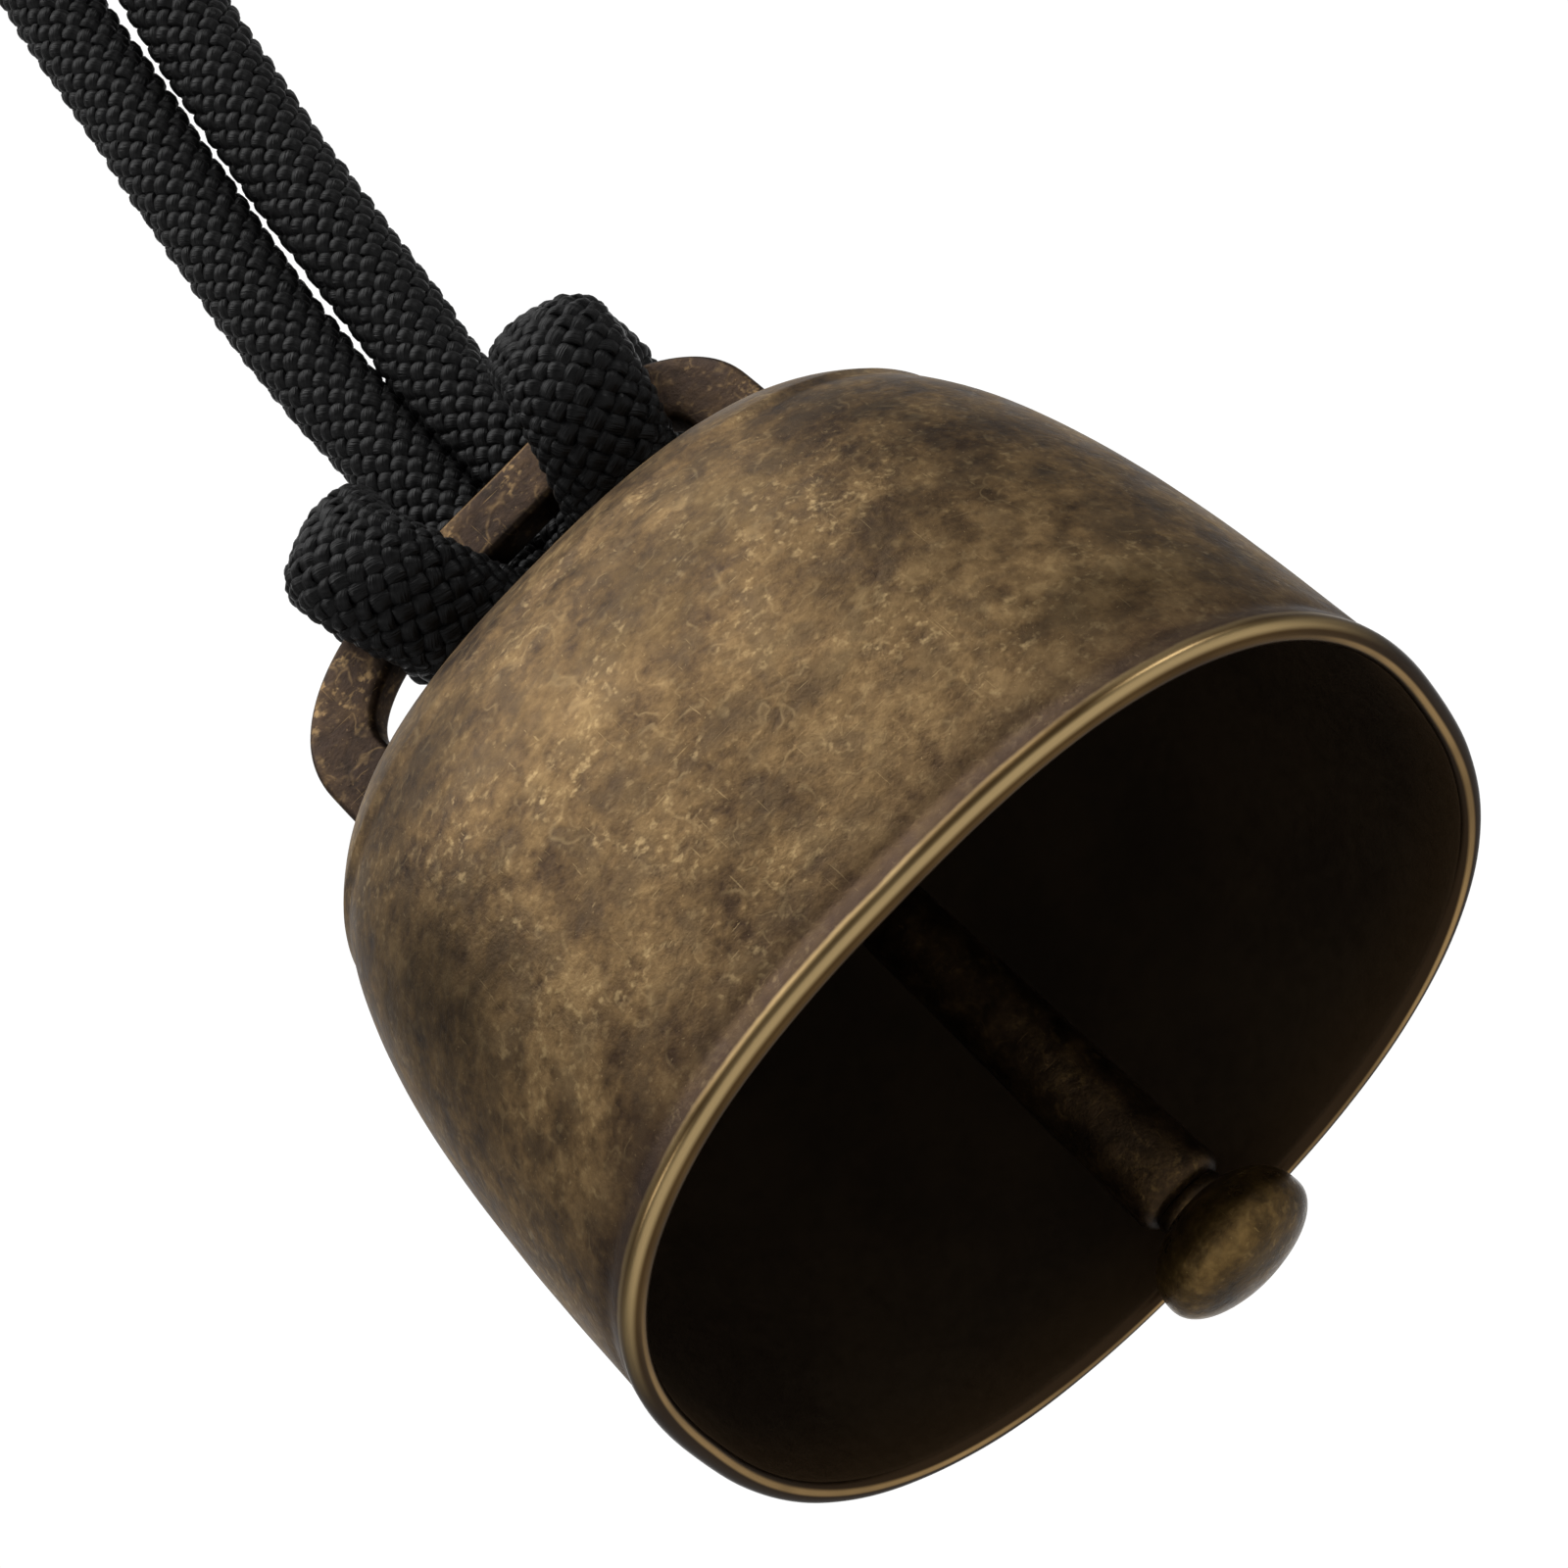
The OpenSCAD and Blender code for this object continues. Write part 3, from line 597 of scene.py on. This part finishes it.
# Bends draw the picks closer: one yarn turn every PITCH mm on a straight run.
curve = np.linalg.norm(np.gradient(tan, along, axis=0), axis=1)
curve = soften(curve[:, None], 9.0)[:, 0]
PITCH = 19.2
turns = np.concatenate([[0], np.cumsum((1 + 0.26 * flat_amt[1:]) * (1 + 2.3 * curve[1:]) / PITCH * np.diff(along))])
TURNS = float(turns[-1])


def cord_section(s, ang, rad):
    """Points at arc length s, angle ang and radius rad round the cord, pressed where the cord is."""
    i = np.clip(s / along[-1] * (len(line) - 1), 0, len(line) - 1 - 1e-6)
    k = i.astype(int)
    f = (i - k)[..., None]

    def at(a):
        return a[k] * (1 - f) + a[k + 1] * f

    c, n, b, t, v = at(line), at(nrm), at(bin_), at(tan), at(to_bar)
    fl = (flat_amt[k] * (1 - f[..., 0]) + flat_amt[k + 1] * f[..., 0])[..., None]
    rad = rad * (girth[k] * (1 - f[..., 0]) + girth[k + 1] * f[..., 0])
    o = rad[..., None] * (np.cos(ang)[..., None] * n + np.sin(ang)[..., None] * b)
    v = v - (v * t).sum(-1, keepdims=True) * t
    v /= np.linalg.norm(v, axis=-1, keepdims=True) + 1e-9
    u = np.cross(t, v)
    ov, ou = (o * v).sum(-1, keepdims=True), (o * u).sum(-1, keepdims=True)
    o = o + fl * (-0.22 * ov * v + 0.36 * ou * u)
    return c + o


CARRIERS = 12  # yarns in each direction
R_MID, R_AMP, YARN_T, YARN_W = 1.97, 0.23, 0.30, 0.50
PHASES = np.radians([-86, -44, 0, 44, 86, 180])
PROFILE = np.radians([0, 38, 68, 90, 112, 142, 180, 270])


def wave(ph):
    c = np.cos(ph)
    return 0.55 * c + 0.45 * np.tanh(2.2 * c) / math.tanh(2.2)


def yarns(sign, part, name):
    """Half of the yarns that turn one way, each over one crossing and under the next."""
    V, F, A = [], [], []
    n0 = 0
    for i in range(part, CARRIERS, 2):
        th0 = 2 * math.pi * i / CARRIERS
        # phase along the yarn: 0 in the middle of a float on the outside
        off = 0.0 if sign > 0 else math.pi
        cyc = np.arange(-1, math.ceil(CARRIERS * TURNS) + 2)
        pts = (cyc[:, None] * 2 * math.pi + PHASES[None]).ravel()
        cid = np.repeat(cyc, len(PHASES))
        turn = (pts - off) / (CARRIERS * 2 * math.pi)
        s = np.interp(turn, turns, along, left=-1, right=CORD_LEN + 1)
        ok = (s > 0.7) & (s < CORD_LEN - 0.7)
        s, pts, cid, turn = s[ok], pts[ok], cid[ok], turn[ok]
        th = th0 + sign * 2 * math.pi * turn
        g = wave(pts)
        jit = np.random.default_rng(1000 + i + (50 if sign > 0 else 0)).normal(0, 1, (4, len(cyc) + 2))
        ci = cid - cyc[0]
        rad = R_MID + R_AMP * g + 0.018 * jit[0][ci] * (g > -0.2)
        wid = YARN_W * (1 + 0.03 * jit[1][ci]) * (0.90 + 0.10 * g)
        thk = YARN_T * (1 + 0.05 * jit[2][ci]) * (0.90 + 0.10 * g)
        th = th + 0.012 * jit[3][ci]
        c = cord_section(s, th, rad)
        t_ = np.gradient(c, axis=0)
        t_ /= np.linalg.norm(t_, axis=1)[:, None]
        outw = cord_section(s, th, rad + 0.5) - c
        outw -= (outw * t_).sum(1)[:, None] * t_
        outw /= np.linalg.norm(outw, axis=1)[:, None]
        side = np.cross(t_, outw)
        fl = np.interp(s, along, flat_amt)
        stretch = 1 + 0.10 * fl
        ring = c[:, None] + (wid * stretch)[:, None, None] * np.cos(PROFILE)[None, :, None] * side[:, None] + thk[:, None, None] * (np.sin(PROFILE) * np.where(np.sin(PROFILE) < 0, 0.8, 1.0))[None, :, None] * outw[:, None]
        m, q = len(s), len(PROFILE)
        V.append(ring.reshape(-1, 3))
        f = grid_faces(m, q, n0, flip=False)
        F += [tuple(x) for x in f]
        F.append(tuple(n0 + j for j in range(q))[::-1])
        F.append(tuple(n0 + (m - 1) * q + j for j in range(q)))
        arc = np.concatenate([[0], np.cumsum(np.linalg.norm(np.diff(c, axis=0), axis=1))])
        a = np.zeros((m, q, 3))
        a[..., 0] = (PROFILE / math.pi)[None]
        a[..., 1] = arc[:, None]
        a[..., 2] = (i * 3.1 + ci * 0.37 + (17 if sign > 0 else 0))[:, None]
        A.append(a.reshape(-1, 3))
        n0 += m * q
    return mesh_object(name, np.vstack(V), F, [mat_cord], {"yarn": np.vstack(A)})


def cord_core():
    """The dark heart of the braid, with the two ends melted round so that they can't fray."""
    step = 0.9
    n = int(CORD_LEN / step)
    inner = np.linspace(1.6, CORD_LEN - 1.6, n)
    cap = [(-0.75, 0.25), (-0.66, 0.9), (-0.45, 1.55), (-0.1, 2.1), (0.35, 2.42), (0.85, 2.5), (1.3, 2.36)]
    s = np.concatenate([[c[0] for c in cap], inner, [CORD_LEN - c[0] for c in cap[::-1]]])
    r = np.concatenate([[c[1] for c in cap], np.full(n, 1.84), [c[1] for c in cap[::-1]]])
    q = 14
    a = np.linspace(0, 2 * math.pi, q, endpoint=False)
    sc = np.clip(s, 0, CORD_LEN)
    P = cord_section(np.repeat(sc[:, None], q, 1), np.repeat(a[None], len(s), 0), np.repeat(r[:, None], q, 1))
    over = s - sc
    P[:, :, :] += over[:, None, None] * np.where(s[:, None, None] < 0, tan[0][None, None], tan[-1][None, None])
    rng = np.random.default_rng(5)
    lump = np.zeros(len(s))
    ends = (s < 1.4) | (s > CORD_LEN - 1.4)
    P[ends] += rng.normal(0, 0.06, (int(ends.sum()), q, 3))
    b = Build()
    b.rings(list(P))
    f = np.array([x for x in b.f if len(x) == 4])
    return mesh_object("cord_core", np.vstack(b.v), b.f, [mat_core])


core = cord_core()
lays = [yarns(+1, 0, "cord_yarns_right_lay_a"), yarns(+1, 1, "cord_yarns_right_lay_b"), yarns(-1, 0, "cord_yarns_left_lay_a"), yarns(-1, 1, "cord_yarns_left_lay_b")]
for o in [core] + lays:
    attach(o, "cord")
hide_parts("hanging_cord", "cord_knot")

# ------------------------------------------------------------------ the bowl
HA, HB, BH, WALL, LIP = 22.0, 17.4, 36.6, 0.9, 0.25
PZ, QX, QY, NN = 3.3, 3.8, 2.3, 2.5
SEG = 240


def oval(n=SEG):
    t = np.linspace(0, 2 * math.pi, n, endpoint=False)
    return np.sign(np.cos(t)) * np.abs(np.cos(t)) ** (2 / NN), np.sign(np.sin(t)) * np.abs(np.sin(t)) ** (2 / NN)


OX, OY = oval()


def skin(A, B, H, extra, zs, n_top, c_top=0.74):
    """Rings up the wall at heights zs, then rings drawn in over the crown to its middle."""
    rings = []
    z_top = H * (1 - c_top * c_top) ** (1 / PZ)
    for z in zs:
        if z >= z_top:
            break
        u = 1 - (z / H) ** PZ
        e = extra(z)
        rings.append(np.stack([(A + e) * u ** (1 / QX) * OX, (B + e) * u ** (1 / QY) * OY, np.full(SEG, z)], 1))
    a0, b0 = A * c_top ** (2 / QX), B * c_top ** (2 / QY)
    for lam in (1 - (np.arange(n_top) / n_top) ** 1.15):
        if lam <= 0.004:
            continue
        x, y = a0 * lam * OX, b0 * lam * OY
        lo, hi = np.zeros(SEG), np.ones(SEG)
        for _ in range(44):
            c = (lo + hi) / 2 + 1e-12
            val = (np.abs(x) / A) ** NN * c ** (-2 * NN / QX) + (np.abs(y) / B) ** NN * c ** (-2 * NN / QY)
            lo = np.where(val > 1, c, lo)
            hi = np.where(val > 1, hi, c)
        c = (lo + hi) / 2
        rings.append(np.stack([x, y, H * (1 - c * c) ** (1 / PZ)], 1))
    return rings


def dent(v, amp, size, seed):
    """Slow unevenness of beaten, handled metal."""
    out = np.array([noise.noise(Vector((p[0] / size + seed, p[1] / size - seed, p[2] / size + 2 * seed))) for p in v])
    return amp * out


def bowl():
    # outer wall above the bead, with the flare that runs into the lip
    def flare(z):
        return -LIP * float(smoothstep(0.3, 2.1, z)) - 0.05 * math.exp(-((z - 1.9) / 0.55) ** 2)

    zs = list(np.arange(0.95, 3.2, 0.18)) + list(np.arange(3.4, 36.2, 0.62))
    outer = skin(HA, HB, BH, flare, zs, 46)
    inner = skin(HA - LIP - WALL, HB - LIP - WALL, BH - WALL, lambda z: 0.0, [1.3, 1.8] + list(np.arange(2.6, 35.4, 0.9)), 34)
    # the bead: the wall's edge rounded over
    bead = []
    ro, ri = 0.0, -(LIP + WALL)
    for t in np.linspace(0, math.pi, 15)[1:-1]:
        m = (ro + ri) / 2
        hw = (ro - ri) / 2
        o = m + hw * math.cos(t) * (1.0 if abs(math.cos(t)) < 0.999 else 1.0)
        z = 0.72 - 0.72 * math.sin(t) ** 0.9
        bead.append((o, max(z, 0.0)))
    ring_of = lambda o, z: np.stack([(HA + o) * OX, (HB + o) * OY, np.full(SEG, z)], 1)
    rings = outer[::-1] + [ring_of(o, z) for o, z in bead] + inner
    k_out = len(outer)
    v = np.vstack(rings)
    # slow dents, along the radial direction
    nrm_ = v * np.array([1 / HA, 1 / HB, 0.35 / BH])
    nrm_ /= np.linalg.norm(nrm_, axis=1)[:, None] + 1e-9
    d = dent(v, 0.05, 7.0, 3.7) + dent(v, 0.016, 2.3, 9.1)
    v = v + nrm_ * d[:, None] - nrm_ * 0.03
    n = len(rings)
    f = [tuple(q) for q in grid_faces(n, SEG)]
    top = len(v)
    v = np.vstack([v, [[0, 0, v[0:SEG, 2].mean() + 0.002]], [[0, 0, v[-SEG:, 2].mean() + 0.002]]])
    f += [(top, (c + 1) % SEG, c) for c in range(SEG)]
    s = (n - 1) * SEG
    f += [(top + 1, s + c, s + (c + 1) % SEG) for c in range(SEG)]
    inside_from = k_out + len(bead) - 2
    fm = np.zeros(len(f), int)
    fm[: (n - 1) * SEG] = np.repeat((np.arange(n - 1) >= inside_from).astype(int), SEG)
    fm[-SEG:] = 1
    return mesh_object("bell_bowl", v, f, [mat_shell, mat_inner], face_mat=fm)


bell = bowl()
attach(bell, "bell")
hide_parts("bell_shell")


def crown_at(x, y=0.0, A=HA - LIP, B=HB - LIP, H=BH):
    lo, hi = 0.0, 1.0
    for _ in range(50):
        c = (lo + hi) / 2 + 1e-12
        val = (abs(x) / A) ** NN * c ** (-2 * NN / QX) + (abs(y) / B) ** NN * c ** (-2 * NN / QY)
        if val > 1:
            lo = c
        else:
            hi = c
    return H * (1 - c * c) ** (1 / PZ)


# ------------------------------------------------------------------ the bail
BAIL_W, BAIL_TOP, STRIP, BAIL_T, BAIL_X = 27.8, BH + 11.65, 3.6, 1.6, -0.2
CX, CZ, TENON_W, TENON_X = 9.0, 7.0, 2.4, 27.8 / 2 - 1.8


def bail():
    hw = BAIL_W / 2
    stations = []  # (outer x, outer z, inner x, inner z)
    zc = BAIL_TOP - CZ
    zo, zi = crown_at(hw + 0.2) - 0.45, crown_at(hw - STRIP) - 0.45
    for f in np.linspace(0, 1, 14)[:-1]:
        stations.append((-hw, zo + (zc - zo) * f, -hw + STRIP, zi + (zc - zi) * f))
    for t in np.radians(np.linspace(0, 90, 33)):
        stations.append((-hw + CX - CX * math.cos(t), zc + CZ * math.sin(t), -hw + STRIP + (CX - STRIP) * (1 - math.cos(t)), zc + (CZ - STRIP) * math.sin(t)))
    right_half = [(-a, b, -c, d) for a, b, c, d in stations[::-1]]
    mid = [(x, BAIL_TOP, x, BAIL_TOP - STRIP) for x in np.linspace(-(hw - CX), hw - CX, 17)[1:-1]]
    stations = np.array(stations + mid + right_half)
    # rounded-rectangle section: (fraction along the strip in mm, y)
    rr = 0.34
    sec = []
    for cxx, cyy, a0 in ((rr, BAIL_T / 2 - rr, 180), (STRIP - rr, BAIL_T / 2 - rr, 90), (STRIP - rr, -BAIL_T / 2 + rr, 0), (rr, -BAIL_T / 2 + rr, -90)):
        for k in range(5):
            a = math.radians(a0 - k * 22.5)
            sec.append((cxx + rr * math.cos(a), cyy + rr * math.sin(a)))
        if cyy > 0 and cxx < 1:
            sec += [(x, BAIL_T / 2) for x in (0.9, 1.5, 2.1, 2.7)]
        if cyy < 0 and cxx > 1:
            sec += [(x, -BAIL_T / 2) for x in (2.7, 2.1, 1.5, 0.9)]
    sec = np.array(sec)
    rings = []
    for ox, oz, ix, iz in stations:
        O, I = np.array([ox, oz]), np.array([ix, iz])
        w = np.linalg.norm(I - O)
        p = O[None] + (I - O)[None] / w * (sec[:, :1] / STRIP * w)
        rings.append(np.stack([p[:, 0] + BAIL_X, sec[:, 1], p[:, 1]], 1))
    b = Build()
    b.rings(rings)
    v = b.v[0]
    v += np.stack([dent(v, 0.03, 3.1, 1.3), dent(v, 0.05, 4.0, 5.2), dent(v, 0.03, 3.3, 8.8)], 1)
    # inside: tenons with peened ends
    for s in (-1, 1):
        x0 = BAIL_X + s * TENON_X
        zin = crown_at(TENON_X, A=HA - LIP - WALL, B=HB - LIP - WALL, H=BH - WALL)
        top = crown_at(TENON_X) - 0.2
        ring = []
        for z, g in ((zin - 0.9, 0.7), (zin - 0.7, 0.95), (zin - 0.4, 1.0), (top, 1.0)):
            q = []
            for cxx, cyy, a0 in ((1.0, 0.6, 0), (-1.0, 0.6, 90), (-1.0, -0.6, 180), (1.0, -0.6, 270)):
                for k in range(4):
                    a = math.radians(a0 + k * 30)
                    q.append((x0 + g * (cxx + 0.2 * math.cos(a)), g * (cyy + 0.2 * math.sin(a)), z))
            ring.append(q)
        b.rings(ring)
        slope = math.atan2(crown_at(TENON_X, A=HA - LIP - WALL, B=HB - LIP - WALL, H=BH - WALL) - crown_at(TENON_X + 0.2, A=HA - LIP - WALL, B=HB - LIP - WALL, H=BH - WALL), 0.2)
        prof = [(0.1, -0.95), (0.8, -0.93), (1.2, -0.82), (1.5, -0.6), (1.75, -0.3), (1.85, -0.08), (1.8, 0.05)]
        t = np.linspace(0, 2 * math.pi, 40, endpoint=False)
        rg = []
        for r, h in prof:
            wob = 1 + 0.05 * np.sin(3 * t + s) + 0.03 * np.sin(7 * t)
            p = np.stack([r * wob * np.cos(t), r * wob * np.sin(t), np.full(40, h)], 1)
            c_, s_ = math.cos(s * slope), math.sin(s * slope)
            p = np.stack([p[:, 0] * c_ + p[:, 2] * s_, p[:, 1], -p[:, 0] * s_ + p[:, 2] * c_], 1)
            rg.append(p + np.array([x0, 0, zin]))
        b.rings(rg)
    return mesh_object("bail_strip", np.vstack(b.v), b.f, [mat_bail])


bail_obj = bail()
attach(bail_obj, "bell")
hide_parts("hanger_bail")

# ------------------------------------------------------------------ staple, link, clapper
STAPLE_Z, LEG, WIRE, BEND_R = 31.8, 3.4, 1.6, 1.4
LINK_R, LINK_D = 2.6, 1.3
LINK_CZ = STAPLE_Z + WIRE / 2 + 0.1 + LINK_D / 2 - LINK_R
HOOK_Z = LINK_CZ - LINK_R
EYE_R = 1.0
EYE_Z = HOOK_Z + LINK_D / 2 + 0.1 - EYE_R
HEAD_D, HEAD_H, HEAD_UP, CLAP = 7.78, 3.76, 2.6, 37.0
HEAD_Z = STAPLE_Z - CLAP
ROD_LOW = HEAD_Z + HEAD_H / 2 + 1.05
ROD_TOP = EYE_Z - 1.75
LEAN = math.radians(21)


def lean(p):
    p = np.asarray(p, float).copy()
    y, z = p[:, 1].copy(), p[:, 2] - STAPLE_Z
    p[:, 1] = y * math.cos(LEAN) - z * math.sin(LEAN)
    p[:, 2] = y * math.sin(LEAN) + z * math.cos(LEAN) + STAPLE_Z
    return p


def tube_rings(c, r, q=20, first=(0, 1, 0)):
    t, n, b = frames(c, first)
    a = np.linspace(0, 2 * math.pi, q, endpoint=False)
    r = np.broadcast_to(r, (len(c),))
    return [c[i] + r[i] * (np.cos(a)[:, None] * n[i] + np.sin(a)[:, None] * b[i]) for i in range(len(c))]


def staple():
    P = [(-LEG, 0, BH - 0.3 - k * 0.35) for k in range(12) if BH - 0.3 - k * 0.35 > STAPLE_Z + BEND_R]
    P += [(-LEG + BEND_R - BEND_R * math.cos(t), 0, STAPLE_Z + BEND_R - BEND_R * math.sin(t)) for t in np.radians(np.linspace(0, 90, 13))]
    P += [(x, 0, STAPLE_Z) for x in np.linspace(-1.7, 1.7, 12)]
    P += [(LEG - BEND_R + BEND_R * math.sin(t), 0, STAPLE_Z + BEND_R - BEND_R * math.cos(t)) for t in np.radians(np.linspace(0, 90, 13))]
    P += [(LEG, 0, z) for z in [BH - 0.3 - k * 0.35 for k in range(12) if BH - 0.3 - k * 0.35 > STAPLE_Z + BEND_R][::-1]]
    c = np.array(P)
    c = c + np.stack([0 * c[:, 0], dent(c, 0.06, 4.0, 2.2), 0 * c[:, 0]], 1)
    b = Build()
    b.rings(tube_rings(c, WIRE / 2))
    for s in (-1, 1):
        zc = crown_at(LEG)
        prof = [(1.38, -0.3), (1.42, -0.02), (1.36, 0.16), (1.2, 0.33), (0.9, 0.46), (0.5, 0.53), (0.15, 0.55)]
        t = np.linspace(0, 2 * math.pi, 40, endpoint=False)
        rg = []
        for r, h in prof:
            wob = 1 + 0.04 * np.sin(2 * t + s) + 0.03 * np.sin(5 * t + 2 * s)
            rg.append(np.stack([s * LEG + r * wob * np.cos(t), r * wob * np.sin(t), zc + h + 0.02 * np.sin(3 * t)], 1))
        b.rings(rg)
    return mesh_object("staple_wire", np.vstack(b.v), b.f, [mat_wire])


def link():
    b = Build()
    a = np.linspace(math.radians(94), math.radians(94 + 355.6), 100)
    c = np.stack([0.06 * np.sin(2 * a), LINK_R * np.cos(a), LINK_CZ + LINK_R * np.sin(a)], 1)
    t, n, bb = frames(c, (1, 0, 0))
    q = 18
    ang = np.linspace(0, 2 * math.pi, q, endpoint=False)
    rings = []
    for i in range(len(c)):
        e = min(i, len(c) - 1 - i)
        r = LINK_D / 2 * (0.86 if e == 0 else 0.97 if e == 1 else 1.0)
        rings.append(c[i] + r * (np.cos(ang)[:, None] * n[i] + np.sin(ang)[:, None] * bb[i]))
    b.rings(rings)
    return mesh_object("link_ring", lean(np.vstack(b.v)), b.f, [mat_wire])


def rod():
    b = Build()
    lo, hi = 4.4 / 2, 3.2 / 2
    z0, z1 = ROD_LOW, ROD_TOP
    prof = [(0.3, z0 + 0.02), (1.2, z0), (lo - 0.55, z0 + 0.01), (lo - 0.3, z0 + 0.09), (lo - 0.1, z0 + 0.3), (lo, z0 + 0.62)]
    for f in np.linspace(0.03, 1, 40):
        prof.append((lo + (hi - lo) * f, z0 + 0.62 + (z1 - z0 - 0.62) * f))
    t = np.linspace(0, 2 * math.pi, 64, endpoint=False)
    rings = [np.stack([r * np.cos(t), r * np.sin(t), np.full(64, z)], 1) for r, z in prof]
    collar = [(0.5, z0 - 0.82), (1.62, z0 - 0.8), (1.74, z0 - 0.6), (1.74, z0 - 0.1), (1.6, z0 + 0.06), (0.5, z0 + 0.07)]
    # the top is flattened into the eye's plate
    for f in np.linspace(0.1, 1, 9):
        k = f * f * (3 - 2 * f)
        rings.append(np.stack([(hi + 0.35 * k) * np.cos(t), (hi * (1 - k) + 0.6 * k) * np.sin(t), np.full(64, z1 + 1.0 * f)], 1))
    b.rings(rings)
    v = b.v[0]
    d = dent(v, 0.04, 3.0, 6.1)
    v[:, 0] += d * v[:, 0] / 2
    v[:, 1] += d * v[:, 1] / 2
    # eye: a ring with rounded edges
    R, r, h, rr = 2.2, EYE_R, 0.6, 0.22
    prof = []
    for cxx, cyy, a0 in ((R - rr, h - rr, 90), (R - rr, -h + rr, 0), (r + rr, -h + rr, -90), (r + rr, h - rr, -180)):
        for k in range(5):
            a = math.radians(a0 - 22.5 * k)
            prof.append((cxx + rr * math.cos(a), cyy + rr * math.sin(a)))
    n = 72
    t = np.linspace(0, 2 * math.pi, n, endpoint=False)
    rg = np.array([[(p * math.cos(a), y, EYE_Z + p * math.sin(a)) for p, y in prof] for a in t])
    k = len(prof)
    f = []
    for i in range(n):
        for j in range(k):
            f.append((i * k + j, i * k + (j + 1) % k, ((i + 1) % n) * k + (j + 1) % k, ((i + 1) % n) * k + j))
    b.add(rg.reshape(-1, 3), f)
    b.rings([np.stack([r_ * np.cos(t), r_ * np.sin(t), np.full(len(t), z_)], 1) for r_, z_ in collar])
    return mesh_object("clapper_shank", lean(np.vstack(b.v)), b.f, [mat_rod])


def head():
    b = Build()
    prof = [(HEAD_D / 2 * abs(math.cos(t)) ** (2 / 2.2), HEAD_Z + (HEAD_UP if t > 0 else HEAD_H / 2) * math.copysign(abs(math.sin(t)) ** (2 / 2.2), t)) for t in np.radians(np.linspace(-90, 90, 41))]
    b.lathe(prof, 96)
    v = b.v[0]
    d = dent(v, 0.035, 2.6, 7.7)
    rel = v - np.array([0, 0, HEAD_Z])
    v += rel / (np.linalg.norm(rel, axis=1)[:, None] + 1e-9) * d[:, None]
    b.lathe([(1.2, HEAD_Z + 1.4), (1.2, HEAD_Z + 1.85), (1.12, HEAD_Z + 2.1), (1.12, HEAD_Z + 2.7), (1.2, HEAD_Z + 3.1), (1.2, HEAD_Z + 4.0)], 40)
    return mesh_object("striker_button", lean(np.vstack(b.v)), b.f, [mat_head])


for o, body, slot_, node in ((staple(), "bell", "inner_brass", "clapper_staple"), (link(), "link", "inner_brass", "clapper_link"), (rod(), "clapper", "clapper_brass", "clapper_rod"), (head(), "clapper", "clapper_brass", "clapper_head")):
    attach(o, body)
    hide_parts(node)

# ------------------------------------------------------------------ floor, light
fv = [(-3000, -3000, -210), (3000, -3000, -210), (3000, 3000, -210), (-3000, 3000, -210)]
ft = Tree("floor_pale")
fn = ft.noise(6, 3, 0.5)
ft.set(color=ft.mix(ft.step(fn, 0.3, 0.7), (0.80, 0.80, 0.80, 1), (0.84, 0.84, 0.84, 1)), rough=0.7, spec=0.2)
floor = mesh_object("floor", fv, [(0, 1, 2, 3)], [ft.mat], smooth=False)

world = bpy.data.worlds.new("studio")
bpy.context.scene.world = world
world.use_nodes = True
wn = world.node_tree
wn.nodes.clear()
wo = wn.nodes.new("ShaderNodeOutputWorld")
bg = wn.nodes.new("ShaderNodeBackground")
wn.links.new(bg.outputs[0], wo.inputs[0])
tc = wn.nodes.new("ShaderNodeTexCoord")
sx = wn.nodes.new("ShaderNodeSeparateXYZ")
wn.links.new(tc.outputs["Generated"], sx.inputs[0])
# a white backdrop behind and above, a dimmer room elsewhere
vd = wn.nodes.new("ShaderNodeVectorMath")
vd.operation = "DOT_PRODUCT"
wn.links.new(tc.outputs["Generated"], vd.inputs[0])
vd.inputs[1].default_value = tuple(float(v) for v in fwd)


def world_range(src, lo, hi, to0, to1):
    m = wn.nodes.new("ShaderNodeMapRange")
    m.interpolation_type = "SMOOTHSTEP"
    wn.links.new(src, m.inputs[0])
    for i_, x_ in zip((1, 2, 3, 4), (lo, hi, to0, to1)):
        m.inputs[i_].default_value = x_
    return m.outputs[0]


mr = wn.nodes.new("ShaderNodeMath")
mr.operation = "ADD"
wn.links.new(world_range(sx.outputs[1], -0.3, 0.6, 0.13, 0.30), mr.inputs[0])
wn.links.new(world_range(vd.outputs["Value"], 0.80, 0.955, 0.0, 0.75), mr.inputs[1])
cr_ = wn.nodes.new("ShaderNodeCombineColor")
for k_ in range(3):
    wn.links.new(mr.outputs[0], cr_.inputs[k_])
wn.links.new(cr_.outputs[0], bg.inputs[0])
bg.inputs[1].default_value = 1.0


def softbox(name, direction, dist, size, power, colour=(1, 1, 1)):
    d = bpy.data.lights.new(name, "AREA")
    d.shape = "RECTANGLE"
    d.size, d.size_y = size
    d.energy = power
    d.color = colour
    o = bpy.data.objects.new(name, d)
    bpy.context.scene.collection.objects.link(o)
    v = Vector(direction).normalized()
    target = Vector(M((0, 0, 12)))
    o.location = target + v * dist
    o.rotation_euler = v.to_track_quat("Z", "Y").to_euler()
    return o


softbox("key_top", (-0.02, -0.46, 0.88), 0.9, (0.9, 0.6), 4.2)
softbox("side_left", (-0.79, -0.545, 0.28), 0.9, (0.22, 0.3), 0.6)
softbox("side_right", (0.79, -0.545, 0.28), 0.9, (0.22, 0.3), 0.9)
